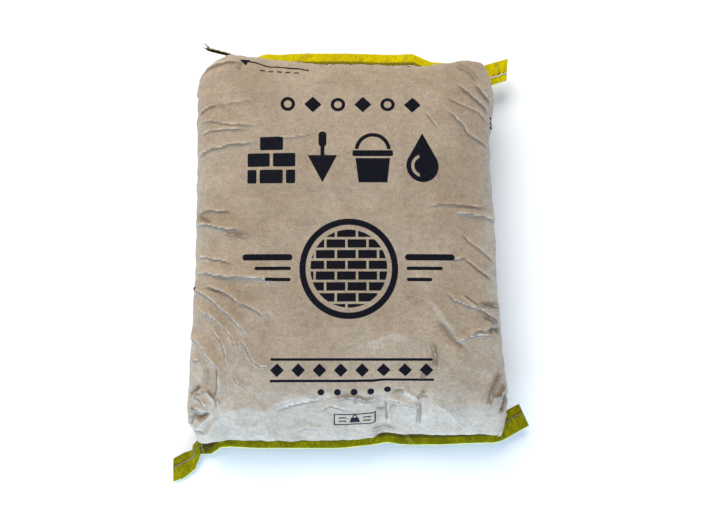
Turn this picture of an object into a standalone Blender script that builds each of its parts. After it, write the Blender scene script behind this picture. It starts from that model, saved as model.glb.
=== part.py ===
"""A filled 25 kg cement sack lying flat: a gusseted paper sack, sewn shut at both ends
through folded yellow crepe tape. Metres, +Z up, +X across the sack and +Y towards its top end.
The origin is on the floor, under the middle of the sack.
"""

import math

import bmesh
import bpy
from mathutils import Vector

# Driving dimensions of the filled sack.
BODY_LENGTH = 0.505  # from end bulge to end bulge
END_WIDTH = 0.405  # widest, near both ends
WAIST_WIDTH = 0.393  # narrowest, a little above the middle
THICKNESS = 0.108  # at the crown
WAIST_Y = 0.06

# The sewn ends. A flap of flattened paper sticks out of each end, with the tape folded over it.
SEAM_WIDTH = 0.388  # flat width of the sack, corner to corner
FLAP_THICKNESS = 0.0018
FLAP_EDGE = 0.0014  # the flap reaches its full thickness this far from its edge
FLAP_OVERHANG = 0.002  # of the flap, past the tape's inner edge
FLAP_ROOT = 0.003  # where the paper starts to open, past the tape's inner edge
FLAP_FLATNESS = 0.25  # the power that spreads the flap's edges, below 1 for a flat top
TAPE_WIDTH = 0.031  # folded in half
STITCH_TO_INNER_EDGE = 0.0115
STITCH_TO_FOLD = TAPE_WIDTH - STITCH_TO_INNER_EDGE
TAPE_THICKNESS = 0.0006
TAPE_END_GAP = 0.0007  # between the two leaves, past the paper
THREAD_DIAMETER = 0.0013
CLEARANCE = 0.0003
THREAD_CLEARANCE = 0.00045
CORNER_CLEARANCE = 0.001  # the paper ends this far before the tape turns into a tail

# Seam at the bottom end: low, drooping to the floor. Seam at the top end: at mid height.
BOTTOM = {"side": -1, "stitch_y": -0.245, "stitch_z": 0.0165, "droop": math.radians(9)}
TOP = {"side": 1, "stitch_y": 0.2575, "stitch_z": 0.0440, "droop": math.radians(10)}
BULGE_HEIGHT = {-1: 0.052, 1: 0.066}  # height of the furthest point of each end
BASE_REACH = 0.052  # how far the floor contact ends inside the bulge
BASE_CURVE = 1.6  # how fast the underside comes down to the floor
FLATTENING = 0.006  # how far a ring would go below the floor, where it is cut flat

# Fineness of the sack's loft. A ring is drawn by its rise at the sides and by its width between.
SIDE_RISES = (0.0, 0.25, 0.5, 0.66)
SIDE_SHARE = 0.9
MIDDLE_COLUMNS = 22
BULGE_RINGS = 4  # between a seam and the end bulge
SHOULDER_RINGS = 7  # from an end bulge to the flat of the top face
MIDDLE_RINGS = 9
SIDE_SQUARENESS = 4.2
END_SQUARENESS = 3.0
CROWN_SQUARENESS = 2.2
CORNER_Y = 0.190  # past this, the sack narrows towards its corners
CORNER_NARROWING = 0.010
CORNER_SPREAD = 1.6  # bulges that the sack takes to leave the seam's width
MERGE_WITHIN = 0.00002
KRAFT_COLOUR = (0.47, 0.36, 0.26)
CREPE_COLOUR = (0.66, 0.56, 0.02)
THREAD_COLOUR = (0.72, 0.70, 0.64)


def smooth_step(value, start, end):
    """0 before start, 1 after end and an S curve between them."""
    share = min(1.0, max(0.0, (value - start) / (end - start)))
    return share * share * (3 - 2 * share)


def bump(value, centre, reach):
    return math.exp(-(((value - centre) / reach) ** 2))


def signed_power(value, power):
    return math.copysign(abs(value) ** power, value)


def ring_shares():
    """The upper half of a ring from its right side to its left, as (width, rise) shares."""
    right = [((1 - rise**SIDE_SQUARENESS) ** (1 / SIDE_SQUARENESS), rise) for rise in SIDE_RISES]
    middle = []
    for index in range(MIDDLE_COLUMNS + 1):
        share = SIDE_SHARE * (1 - 2 * index / MIDDLE_COLUMNS)
        middle.append((share, (1 - abs(share) ** SIDE_SQUARENESS) ** (1 / SIDE_SQUARENESS)))
    return right + middle + [(-share, rise) for share, rise in reversed(right)]


UPPER_SHARES = ring_shares()
ROUND_SHARES = UPPER_SHARES + [(share, -rise) for share, rise in UPPER_SHARES[-2:0:-1]]


def seam_shift(seam, x):
    """How far the stitched line leaves a straight line at x, in y and z."""
    if seam["side"] < 0:
        flare = smooth_step(-x, 0.160, 0.192)
        ripple = bump(x, 0.056, 0.020) - 0.35 * bump(x, 0.095, 0.014)
        lift = smooth_step(x, 0.140, 0.194)
        return Vector((0, 0.006 * ripple - 0.007 * flare + 0.003 * lift, 0.002 * ripple - 0.004 * flare))
    right = smooth_step(x, 0.090, 0.194)
    left = smooth_step(-x, 0.110, 0.194)
    return Vector((0, -0.012 * right - 0.001 * left, -0.012 * right + 0.004 * left))


def seam_frame(seam, x):
    """The stitched line at x: its point, the way to the tape's fold, and the upward normal."""
    start = Vector((x, seam["stitch_y"], seam["stitch_z"])) + seam_shift(seam, x)
    droop = seam["droop"]
    outward = Vector((0, seam["side"] * math.cos(droop), -math.sin(droop)))
    upward = Vector((0, seam["side"] * math.sin(droop), math.cos(droop)))
    return start, outward, upward


# Each tail of tape past a corner of the sack, as steps from the corner: the way to go in
# x and y, the rise, how far the tape swings in plan, its turn about its own length, and the distance.
TAIL_ROUTES = {
    ("bottom", -1): [
        (-0.50, -0.84, -0.16, 6, 4, 0.010),
        (-0.62, -0.76, -0.20, 16, 12, 0.010),
        (-0.84, -0.54, -0.04, 24, 2, 0.012),
        (-0.85, -0.53, 0.02, 28, 0, 0.012),
    ],
    ("bottom", 1): [
        (0.93, 0.32, 0.10, 12, -4, 0.008),
        (0.88, 0.47, 0.14, 24, -8, 0.010),
        (0.88, 0.47, 0.12, 27, -8, 0.014),
        (0.89, 0.46, 0.02, 27, -4, 0.012),
    ],
    ("top", -1): [
        (-0.95, 0.28, 0.05, 12, 30, 0.006),
        (-0.92, 0.36, 0.06, 18, 62, 0.008),
        (-0.91, 0.40, 0.08, 20, 76, 0.008),
    ],
    ("top", 1): [
        (0.97, 0.22, 0.05, -10, 3, 0.008),
        (0.94, 0.34, 0.08, -18, 6, 0.010),
        (0.94, 0.34, 0.04, -20, 6, 0.010),
        (0.95, 0.31, 0.02, -18, 4, 0.006),
    ],
}
STEPS_A_TAIL = 3  # stations to each step of a tail


def turned(vector, axis, degrees):
    """The vector turned about an axis through the origin."""
    angle = math.radians(degrees)
    along = axis * axis.dot(vector)
    return along + (vector - along) * math.cos(angle) + axis.cross(vector) * math.sin(angle)


def tail_stations(name, seam, end):
    """Frames along one tail, from the sack's corner outwards."""
    place, outward, upward = seam_frame(seam, end * SEAM_WIDTH / 2)
    route = TAIL_ROUTES[name, end]
    stations = []
    before = (Vector((end, 0, 0)), 0.0, 0.0)
    for step_x, step_y, rise, swing, turn, length in route:
        after = (Vector((step_x, step_y, rise)).normalized(), swing, turn)
        for part in range(1, STEPS_A_TAIL + 1):
            share = part / STEPS_A_TAIL
            way = before[0].lerp(after[0], share).normalized()
            swung, angle = (before[i] + (after[i] - before[i]) * share for i in (1, 2))
            place = place + way * length / STEPS_A_TAIL
            across = turned(turned(outward, upward, -swung * seam["side"]), way, angle * end)
            normal = (way.cross(across) * end * seam["side"]).normalized()
            stations.append((place.copy(), across, normal, TAPE_END_GAP))
        before = after
    return stations


def tape_stations(name, seam):
    """Frames and leaf gaps along the whole tape, from its left tail to its right one."""
    paper_gap = FLAP_THICKNESS + 2 * CLEARANCE
    left = tail_stations(name, seam, -1)[::-1]
    middle = []
    for share, _ in reversed(UPPER_SHARES):
        middle.append((*seam_frame(seam, share * SEAM_WIDTH / 2), paper_gap))
    return left + middle + tail_stations(name, seam, 1)


FOLD_POINTS = 4  # round the fold, besides its two ends


def tape_section(gap):
    """The folded tape's middle line in its own plane, as (way to the fold, height) pairs."""
    radius = (gap + TAPE_THICKNESS) / 2
    straight = STITCH_TO_FOLD - radius - TAPE_THICKNESS / 2
    upper = [(reach, radius) for reach in (-STITCH_TO_INNER_EDGE, 0, straight / 2, straight)]
    fold = []
    for index in range(1, FOLD_POINTS + 1):
        angle = math.pi / 2 - math.pi * index / (FOLD_POINTS + 1)
        fold.append((straight + radius * math.cos(angle), radius * math.sin(angle)))
    return upper + fold + [(reach, -height) for reach, height in reversed(upper)]


def grid_object(name, across, along, place):
    """A grid of across by along points, each put where place(column, row) says."""
    bpy.ops.mesh.primitive_grid_add(x_subdivisions=across - 1, y_subdivisions=along - 1, size=2)
    made = bpy.context.object
    made.name = name
    made.data.name = name
    for vertex in made.data.vertices:
        column = round((vertex.co.x + 1) / 2 * (across - 1))
        row = round((vertex.co.y + 1) / 2 * (along - 1))
        vertex.co = place(column, row)
    return made


def recalculate_normals(made, merge_within=None):
    """Faces out, after the points closer than merge_within are made one."""
    mesh = bmesh.new()
    mesh.from_mesh(made.data)
    if merge_within:
        bmesh.ops.remove_doubles(mesh, verts=mesh.verts[:], dist=merge_within)
    bmesh.ops.recalc_face_normals(mesh, faces=mesh.faces[:])
    if mesh.calc_volume(signed=True) < 0:
        bmesh.ops.reverse_faces(mesh, faces=mesh.faces[:])
    mesh.to_mesh(made.data)
    mesh.free()


def folded_tape(name, seam, material):
    stations = tape_stations(name, seam)
    sections = [tape_section(gap) for _, _, _, gap in stations]

    def place(column, row):
        start, outward, upward, _ = stations[row]
        reach, height = sections[row][column]
        return start + outward * reach + upward * height

    tape = grid_object(f"{name}_tape", len(sections[0]), len(stations), place)
    thicken = tape.modifiers.new("paper thickness", "SOLIDIFY")
    thicken.thickness = TAPE_THICKNESS
    thicken.offset = 0
    tape.data.materials.append(material)
    tape.data.shade_smooth()
    return tape


def seam_thread(name, seam, material):
    """The sewing thread along the tape's upper leaf, from the end of one tail to the other."""
    curve = bpy.data.curves.new(f"{name}_seam_thread", "CURVE")
    curve.dimensions = "3D"
    curve.bevel_depth = THREAD_DIAMETER / 2
    curve.bevel_resolution = 2
    curve.use_fill_caps = True
    stations = tape_stations(name, seam)
    spline = curve.splines.new("POLY")
    spline.points.add(len(stations) - 1)
    for point, (start, _, upward, gap) in zip(spline.points, stations):
        height = gap / 2 + TAPE_THICKNESS + THREAD_CLEARANCE + THREAD_DIAMETER / 2
        point.co = (*(start + upward * height), 1)
    thread = bpy.data.objects.new(f"{name}_seam_thread", curve)
    bpy.context.collection.objects.link(thread)
    thread.data.materials.append(material)
    return thread


def half_width(y):
    """Half the sack's width at y: a slight waist between wider ends."""
    widening = smooth_step(abs(y - WAIST_Y), 0, CORNER_Y)
    corner = max(0.0, abs(y) - CORNER_Y) / (BODY_LENGTH / 2 - CORNER_Y)
    return (WAIST_WIDTH + (END_WIDTH - WAIST_WIDTH) * widening) / 2 - CORNER_NARROWING * corner**2


def end_rings(seam):
    """The rings of one end, from the seam inwards, as (upper, lower, half width, hold) with
    upper and lower as (y, z). Hold is how far a ring follows the seam's own shape.
    """
    side = seam["side"]
    bulge_y = BODY_LENGTH / 2
    bulge_z = BULGE_HEIGHT[side]
    root, outward, _ = seam_frame(seam, 0.0)
    root = root - seam_shift(seam, 0.0) - outward * (STITCH_TO_INNER_EDGE + FLAP_ROOT)
    root_y = abs(root.y)
    base_y = bulge_y - BASE_REACH
    rings = []
    count = BULGE_RINGS + SHOULDER_RINGS
    for index in range(1, count + 1):
        if index <= BULGE_RINGS:
            share = index / BULGE_RINGS
            upper_y = root_y + (bulge_y - root_y) * smooth_step(share, 0, 1)
            upper_z = root.z + FLAP_THICKNESS / 2 + (bulge_z - root.z) * share
        else:
            angle = math.pi / 2 * (index - BULGE_RINGS) / (SHOULDER_RINGS + 1)
            upper_y = bulge_y * math.cos(angle) ** (2 / END_SQUARENESS)
            crown = math.sin(angle) ** (2 / CROWN_SQUARENESS)
            upper_z = bulge_z + (THICKNESS - bulge_z) * crown
        inward = min(1.0, index / (count - 1))
        lower_y = root_y + (min(base_y, upper_y) - root_y) * inward
        lower_z = (root.z - FLAP_THICKNESS / 2) * (1 - inward) ** BASE_CURVE
        corner = smooth_step(index / BULGE_RINGS, 0, CORNER_SPREAD)
        width = SEAM_WIDTH / 2 + (half_width(side * upper_y) - SEAM_WIDTH / 2) * corner
        hold = max(0.0, 1 - index / (BULGE_RINGS + 1))
        rings.append(((side * upper_y, upper_z), (side * lower_y, lower_z), width, hold))
    return rings


def flap_point(seam, column, back, thickness):
    """A point of the flattened flap, back from the fold of the tape."""
    share, rise = ROUND_SHARES[column]
    reach = SEAM_WIDTH / 2 - CORNER_CLEARANCE
    start, outward, upward = seam_frame(seam, min(reach, max(-reach, share * SEAM_WIDTH / 2)))
    height = thickness / 2 * signed_power(rise, FLAP_FLATNESS)
    reach = STITCH_TO_FOLD - TAPE_THICKNESS - CLEARANCE - back
    return start + outward * reach + upward * height


def body_point(ring, seam, column):
    """A point of a ring round the filled body, resting flat on the floor."""
    (upper_y, upper_z), (lower_y, lower_z), width, hold = ring
    share, rise = ROUND_SHARES[column]
    x = share * width
    middle_z = (upper_z + lower_z) / 2
    below = middle_z - lower_z + (FLATTENING if lower_z <= 0.0005 else 0.0)
    z = middle_z + rise * (upper_z - middle_z if rise > 0 else below)
    y = lower_y + (upper_y - lower_y) * (1 + rise) / 2
    shift = seam_shift(seam, x) * hold if seam else Vector()
    return Vector((x, y + shift.y, max(0.0, z + shift.z)))


def filled_sack(material):
    """A tube of rings drawn from one flattened flap, over the body, to the other."""
    flap_backs = (
        (0.0, 0.0),
        (FLAP_EDGE, FLAP_THICKNESS),
        (TAPE_WIDTH + FLAP_OVERHANG, FLAP_THICKNESS),
    )

    def flap_rings(seam):
        return [
            lambda column, back=back, thick=thick: flap_point(seam, column, back, thick)
            for back, thick in flap_backs
        ]

    def body_rings(seam):
        return [lambda c, ring=ring: body_point(ring, seam, c) for ring in end_rings(seam)]

    bottom = flap_rings(BOTTOM) + body_rings(BOTTOM)
    top = flap_rings(TOP) + body_rings(TOP)
    first = abs(end_rings(BOTTOM)[-1][0][0])
    middle = []
    for index in range(1, MIDDLE_RINGS + 1):
        y = first * (2 * index / (MIDDLE_RINGS + 1) - 1)
        ring = ((y, THICKNESS), (y, 0.0), half_width(y), 0.0)
        middle.append(lambda column, ring=ring: body_point(ring, None, column))
    rings = bottom + middle + top[::-1]

    def place(column, row):
        return rings[row](column % len(ROUND_SHARES))

    sack = grid_object("paper_sack", len(ROUND_SHARES) + 1, len(rings), place)
    recalculate_normals(sack, merge_within=MERGE_WITHIN)
    sack.data.materials.append(material)
    sack.data.shade_smooth()
    return sack


def principled(name, colour, roughness):
    material = bpy.data.materials.new(name)
    material.use_nodes = True
    shader = material.node_tree.nodes["Principled BSDF"]
    shader.inputs["Base Color"].default_value = (*colour, 1)
    shader.inputs["Roughness"].default_value = roughness
    shader.inputs["Metallic"].default_value = 0
    return material


def main():
    for old in list(bpy.data.objects):
        bpy.data.objects.remove(old)
    parts = bpy.data.collections.new("cement_sack")
    bpy.context.scene.collection.children.link(parts)
    layer = bpy.context.view_layer.layer_collection.children[parts.name]
    bpy.context.view_layer.active_layer_collection = layer
    kraft = principled("kraft_paper", KRAFT_COLOUR, 0.85)
    crepe = principled("yellow_crepe_paper", CREPE_COLOUR, 0.8)
    thread = principled("sewing_thread", THREAD_COLOUR, 0.7)
    filled_sack(kraft)
    for name, seam in (("bottom", BOTTOM), ("top", TOP)):
        folded_tape(name, seam, crepe)
        seam_thread(name, seam, thread)


main()
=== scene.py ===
"""Dresses the plain solids of a filled cement sack: kraft paper with its creases and a plain
print, crepe tape folded over both sewn ends, chain-stitched thread, and the pale stage under it.
The frame is the sack's own: +X across, +Y towards the top end, +Z up. Lengths are in metres where
no comment says otherwise.
"""

import math

import bpy
import numpy as np
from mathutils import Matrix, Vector, noise


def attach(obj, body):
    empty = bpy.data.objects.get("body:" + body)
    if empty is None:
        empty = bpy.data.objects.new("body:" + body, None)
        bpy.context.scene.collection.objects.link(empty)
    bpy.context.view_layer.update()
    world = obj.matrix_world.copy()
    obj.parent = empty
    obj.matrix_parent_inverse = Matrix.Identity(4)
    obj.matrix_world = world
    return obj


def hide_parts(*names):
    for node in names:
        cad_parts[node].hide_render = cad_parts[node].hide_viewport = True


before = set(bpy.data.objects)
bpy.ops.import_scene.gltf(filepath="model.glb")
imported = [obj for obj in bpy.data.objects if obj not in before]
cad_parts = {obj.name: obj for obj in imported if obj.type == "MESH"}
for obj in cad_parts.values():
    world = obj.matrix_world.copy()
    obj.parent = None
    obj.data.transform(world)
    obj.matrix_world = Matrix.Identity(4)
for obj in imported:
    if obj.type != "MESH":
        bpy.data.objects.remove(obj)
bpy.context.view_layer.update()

bl_info = {
    "name": "Cement Sack",
    "version": (1, 0, 0),
    "blender": (4, 5, 0),
    "location": "View3D > Sidebar > Cement Sack",
    "description": "Builds a filled, sewn paper cement sack over its solids",
    "category": "Add Mesh",
}

# The filled body. Its length, its thickness and the heights of its bulges are its solid's. Here and
# below, an end is -1 for the bottom and 1 for the top, and a side -1 for the left and 1 for the right.
BODY_LENGTH = 0.505
THICKNESS = 0.108  # at the crown
BULGE_HEIGHT = {-1: 0.052, 1: 0.066}  # of the furthest point of each end
BASE_REACH = 0.052  # how far the floor contact ends inside the bulge
BASE_CURVE = 1.6  # how fast the underside comes down to the floor
ON_FLOOR = 0.0005  # a ring whose underside is no higher than this lies on the floor
FLATTENING = 0.006  # how far such a ring would go below the floor, where it is cut flat
SLOPE_STARTS = (0.188, 0.209)  # where the bottom end starts to slope down, mid-width and at a side
SLOPE_SHARES = (0.85, 0.55)  # 0 is a round end and 1 a straight slope
SLOPE_RAMP = (-0.014, 0.026)  # counted from its start, where the slope sets in and is full
SLOPE_SIDE = (0.050, 0.120)  # across the sack, where the slope's middle gives way to its sides
SIDE_SQUARENESS = 4.2
END_SQUARENESS = 4.0
CROWN_SQUARENESS = 2.4

# Half widths of the filled body at places along it, to the left and to the right.
LEFT_EDGE = (
    (-0.254, 0.192), (-0.239, 0.1960), (-0.227, 0.2015), (-0.197, 0.2015), (-0.124, 0.1968),
    (-0.040, 0.1948), (0.045, 0.1962), (0.123, 0.1980), (0.205, 0.2015), (0.235, 0.2035),
    (0.254, 0.203),
)
RIGHT_EDGE = (
    (-0.254, 0.200), (-0.244, 0.2005), (-0.217, 0.203), (-0.193, 0.2045), (-0.144, 0.1988),
    (-0.065, 0.1950), (0.033, 0.1938), (0.100, 0.1918), (0.140, 0.1930), (0.177, 0.1980),
    (0.204, 0.2005), (0.227, 0.196), (0.254, 0.190),
)

# How far the bulge of each end stands out past its usual line, in y and in z, at places across it.
END_PUFF = {
    -1: (
        (-0.200, 0.004, 0.000), (-0.170, 0.003, 0.000), (-0.150, -0.001, 0.000),
        (0.000, -0.0015, 0.000), (0.032, -0.0035, 0.000), (0.042, -0.0085, 0.000),
        (0.050, -0.0095, 0.000), (0.060, -0.009, 0.000), (0.120, -0.008, 0.000), (0.170, -0.008, 0.000),
        (0.200, -0.006, 0.000),
    ),
    1: (
        (-0.205, -0.016, 0.000), (-0.192, -0.013, 0.001), (-0.178, -0.004, 0.003),
        (-0.158, 0.006, 0.005), (-0.125, 0.006, 0.004), (-0.100, 0.002, 0.003),
        (-0.075, 0.001, 0.002), (-0.040, -0.0015, 0.000), (0.030, -0.0015, 0.000), (0.082, -0.004, 0.000),
        (0.122, -0.002, 0.000), (0.165, 0.005, 0.000), (0.200, 0.005, 0.000),
    ),
}
# How much the sides trail the crown near each corner, by end and side: 0 is a sharp corner.
CORNER_LAG = {(-1, -1): 0.56, (-1, 1): 0.10, (1, -1): 0.36, (1, 1): 0.14}

# The sewn ends: a flap of flattened paper with folded tape over it, in the places of their solids.
SEAM_WIDTH = 0.388  # flat width of the sack, corner to corner
# How far the paper reaches inside the tape, by end and side. The tape goes on past it.
PAPER_REACH = {(-1, -1): 0.193, (-1, 1): 0.193, (1, -1): 0.163, (1, 1): 0.193}
FLAP_THICKNESS = 0.0018
FLAP_EDGE = 0.0014  # the flap reaches its full thickness this far from its edge
FLAP_OVERHANG = 0.002  # of the flap, past the tape's inner edge
FLAP_ROOT = 0.003  # where the paper starts to open, past the tape's inner edge
FLAP_FLATNESS = 0.25  # the power that spreads the flap's edges, below 1 for a flat top
TAPE_WIDTH = 0.031  # folded in half
STITCH_TO_INNER_EDGE = 0.0115
STITCH_TO_FOLD = TAPE_WIDTH - STITCH_TO_INNER_EDGE
TAPE_THICKNESS = 0.0005  # of one leaf
TAPE_CLEARANCE = 0.0003  # between a leaf and the paper
CORNER_CLEARANCE = 0.001  # the tape is free to bend from this far past the paper
BOTTOM = {"side": -1, "stitch_y": -0.245, "stitch_z": 0.0165, "droop": math.radians(9)}
TOP = {"side": 1, "stitch_y": 0.2575, "stitch_z": 0.0440, "droop": math.radians(10)}
# The rows of a flap, by how far they lie back from its edge and how thick it is there.
FLAP_BACKS = ((0.0, 0.0), (FLAP_EDGE, FLAP_THICKNESS), (TAPE_WIDTH + FLAP_OVERHANG, FLAP_THICKNESS))

# How each stitched line leaves a straight line, by end. All of it lies out in y by its rest. A hump
# has its middle and its reach along x, a step and a ramp have where they start and end, and each
# then has its height in y and in z.
SEAM_REST = {-1: -0.001, 1: 0.0035}
SEAM_HUMPS = {
    -1: ((0.054, 0.014, 0.003, 0.002), (-0.150, 0.020, 0.0018, 0.0)),
    1: ((-0.097, 0.018, -0.0020, 0.0), (0.060, 0.035, -0.0018, 0.0)),
}
SEAM_STEPS = {
    -1: ((-0.020, 0.045, 0.0045, 0.0), (0.110, 0.190, 0.0025, 0.0)),
    1: (
        (0.120, 0.194, -0.0035, -0.008), (-0.134, -0.172, 0.018, -0.003),
        (-0.165, -0.200, 0.007, 0.0),
    ),
}
SEAM_RAMPS = {-1: ((-0.167, -0.179, -0.0080, -0.004),), 1: ((0.093, 0.121, -0.0115, -0.004),)}
# The ear at the top left corner turns the tape on edge between two places along x.
EDGE_TURN = {-1: 0.0, 1: math.radians(55)}
EDGE_TURN_RAMP = (-0.108, -0.150)

# The camera, which stands over the bottom end and looks steeply down.
CAMERA_AIM = Vector((0, -0.009, 0.060))
CAMERA_ELEVATION = math.radians(80)
CAMERA_AWAY = Vector((0, -math.cos(CAMERA_ELEVATION), math.sin(CAMERA_ELEVATION)))  # from its aim
CAMERA_DISTANCE = 0.95
FRAME_WIDTH = 708
FRAME_HEIGHT = 520
FOCAL_POINTS = 718  # the focal length, in points of the frame
VIEW_CENTRE = (346.5, 252.0)  # where the aim falls in the frame
FILM_WIDTH_MM = 36


def ramp(value, start, end):
    """0 before start, 1 after end and a straight line between them."""
    return np.clip((value - start) / (end - start), 0.0, 1.0)


def smooth_step(value, start, end):
    """0 before start, 1 after end and an S curve between them."""
    share = ramp(value, start, end)
    return share * share * (3 - 2 * share)


def hump(value, centre, reach):
    """1 at the centre, fading out smoothly on both sides."""
    return np.exp(-(((value - centre) / reach) ** 2))


def signed_power(value, power):
    return np.sign(value) * np.abs(value) ** power


def select_only(thing):
    bpy.ops.object.select_all(action="DESELECT")
    thing.select_set(True)
    bpy.context.view_layer.objects.active = thing


def vertex_array(thing):
    points = np.empty(len(thing.data.vertices) * 3)
    thing.data.vertices.foreach_get("co", points)
    return points.reshape(-1, 3)


def put_vertices(thing, points):
    thing.data.vertices.foreach_set("co", np.asarray(points, float).ravel())
    thing.data.update()


def normal_array(thing):
    normals = np.empty(len(thing.data.vertices) * 3)
    thing.data.vertex_normals.foreach_get("vector", normals)
    return normals.reshape(-1, 3)


def store_value(thing, name, values):
    """Keeps one number a vertex, for a material to read."""
    layer = thing.data.attributes.new(name, "FLOAT", "POINT")
    layer.data.foreach_set("value", np.asarray(values, float).ravel())


def stored_value(thing, name):
    values = np.empty(len(thing.data.vertices))
    thing.data.attributes[name].data.foreach_get("value", values)
    return values


def grid_piece(name, across, along):
    """A flat grid whose vertices run across first, ready to be shaped."""
    bpy.ops.object.select_all(action="DESELECT")
    bpy.ops.mesh.primitive_grid_add(
        x_subdivisions=across - 1, y_subdivisions=along - 1, size=2, calc_uvs=True
    )
    piece = bpy.context.object
    piece.name = name
    piece.data.name = name
    return piece


def set_uv(piece, u, v):
    """The UV map, in metres, from a value of each vertex."""
    corners = np.empty(len(piece.data.loops), int)
    piece.data.loops.foreach_get("vertex_index", corners)
    flat = np.column_stack((np.ravel(u)[corners], np.ravel(v)[corners]))
    piece.data.uv_layers.active.data.foreach_set("uv", flat.ravel())


def seam_shift(seam, x):
    """How far the stitched line leaves a straight line at x, in y and z."""
    side = seam["side"]
    shift_y, shift_z = SEAM_REST[side], 0.0
    for form, table in ((hump, SEAM_HUMPS), (smooth_step, SEAM_STEPS), (ramp, SEAM_RAMPS)):
        for first, second, out, up in table[side]:
            share = form(x, first, second)
            shift_y = shift_y + out * share
            shift_z = shift_z + up * share
    return shift_y, shift_z


def seam_droop(seam, x):
    """How far the tape leans down at x."""
    return seam["droop"] + EDGE_TURN[seam["side"]] * smooth_step(x, *EDGE_TURN_RAMP)


def seam_frame(seam, x):
    """The stitched line at x: its point, the way to the tape's fold, and the upward normal."""
    shift_y, shift_z = seam_shift(seam, x)
    start = Vector((x, seam["stitch_y"] + shift_y, seam["stitch_z"] + shift_z))
    droop = seam_droop(seam, x)
    outward = Vector((0, seam["side"] * math.cos(droop), -math.sin(droop)))
    upward = Vector((0, seam["side"] * math.sin(droop), math.cos(droop)))
    return start, outward, upward


def root_shift(seam, x):
    """How far the flap's root leaves a straight line at x, in y and z."""
    shift_y, shift_z = seam_shift(seam, x)
    droop, usual = seam_droop(seam, x), seam["droop"]
    back = STITCH_TO_INNER_EDGE + FLAP_ROOT
    shift_y = shift_y - seam["side"] * back * (np.cos(droop) - math.cos(usual))
    return shift_y, shift_z + back * (np.sin(droop) - math.sin(usual))


# The paper sack. It is a tube of rings. A ring starts under the middle of the sack, goes up its
# right side, over the top and down the left side.

RING_STEPS = 4001  # along the curve that the columns are spread over
RING_COLUMNS_TOP = 256
RING_COLUMNS_UNDER = 34  # under each half
UNDER_EVENNESS = 0.45  # 1 spreads those evenly, and less crowds them towards the sides
BACK_SEAM_X = 0.022  # the glued edge along the underside
BACK_SEAM_HALF = 0.0006  # half the width over which the paper steps there
BACK_SEAM_STEP = 0.0008
BACK_SEAM_FADE = 0.035  # past the seam, where the step has faded out
ROW_SPACING = 0.0020
FOLD_FREE_ROWS = 7  # rows over which the folds set in, past a flap
TYPICAL_HALF_WIDTH = 0.2  # of a ring, to space its columns by
TYPICAL_HALF_HEIGHT = 0.054


def ring_shares():
    """(width share, rise, distance along the paper from the crown's middle) for each column."""
    angle = np.linspace(0, math.pi, RING_STEPS)
    share = signed_power(np.cos(angle), 2 / SIDE_SQUARENESS)
    rise = np.abs(np.sin(angle)) ** (2 / SIDE_SQUARENESS)
    steps = np.hypot(np.diff(share) * TYPICAL_HALF_WIDTH, np.diff(rise) * TYPICAL_HALF_HEIGHT)
    reach = np.concatenate(([0], np.cumsum(steps)))
    total = reach[-1]
    top = np.linspace(0, total, RING_COLUMNS_TOP + 1)
    part = np.linspace(0, 1, RING_COLUMNS_UNDER - 1)
    under = total / 2 * (UNDER_EVENNESS * part + (1 - UNDER_EVENNESS) * part**2)
    back_seam = total / 2 - BACK_SEAM_X + np.array((-BACK_SEAM_HALF, BACK_SEAM_HALF))
    under = np.sort(np.concatenate((under, back_seam)))
    top_share = np.interp(top, reach, share)
    top_rise = np.interp(top, reach, rise)
    under_share = np.interp(under, reach, share)
    under_rise = np.interp(under, reach, rise)
    shares = np.concatenate((under_share[:0:-1], top_share, -under_share[1:]))
    rises = np.concatenate((-under_rise[:0:-1], top_rise, -under_rise[1:]))
    along = np.concatenate((total / 2 + under[:0:-1], total / 2 - top, -total / 2 - under[1:]))
    return shares, rises, along


CLIMB_STEPS = 60  # fine steps from the root of a flap to the bulge
TURN_STEPS = 260  # and from the bulge over the shoulder to the crown
LEFT_STEPS = 30  # the last of these, which are left to the sack's long middle
# How far the bends of an end reach, counted in rings of its solid.
BULGE_RINGS = 4
SHOULDER_RINGS = 7
PUFF_RINGS = 3
CORNER_SPREAD = 1.3  # bulges that the sack takes to leave the seam's width
# Where the puff of an end sets in and is full: along the sack, by a ring's rise, and by height.
PUFF_REACH = (0.15, 0.235)
PUFF_RISES = (-0.6, 0.3)
PUFF_HEIGHTS = (THICKNESS, 0.085)


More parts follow.
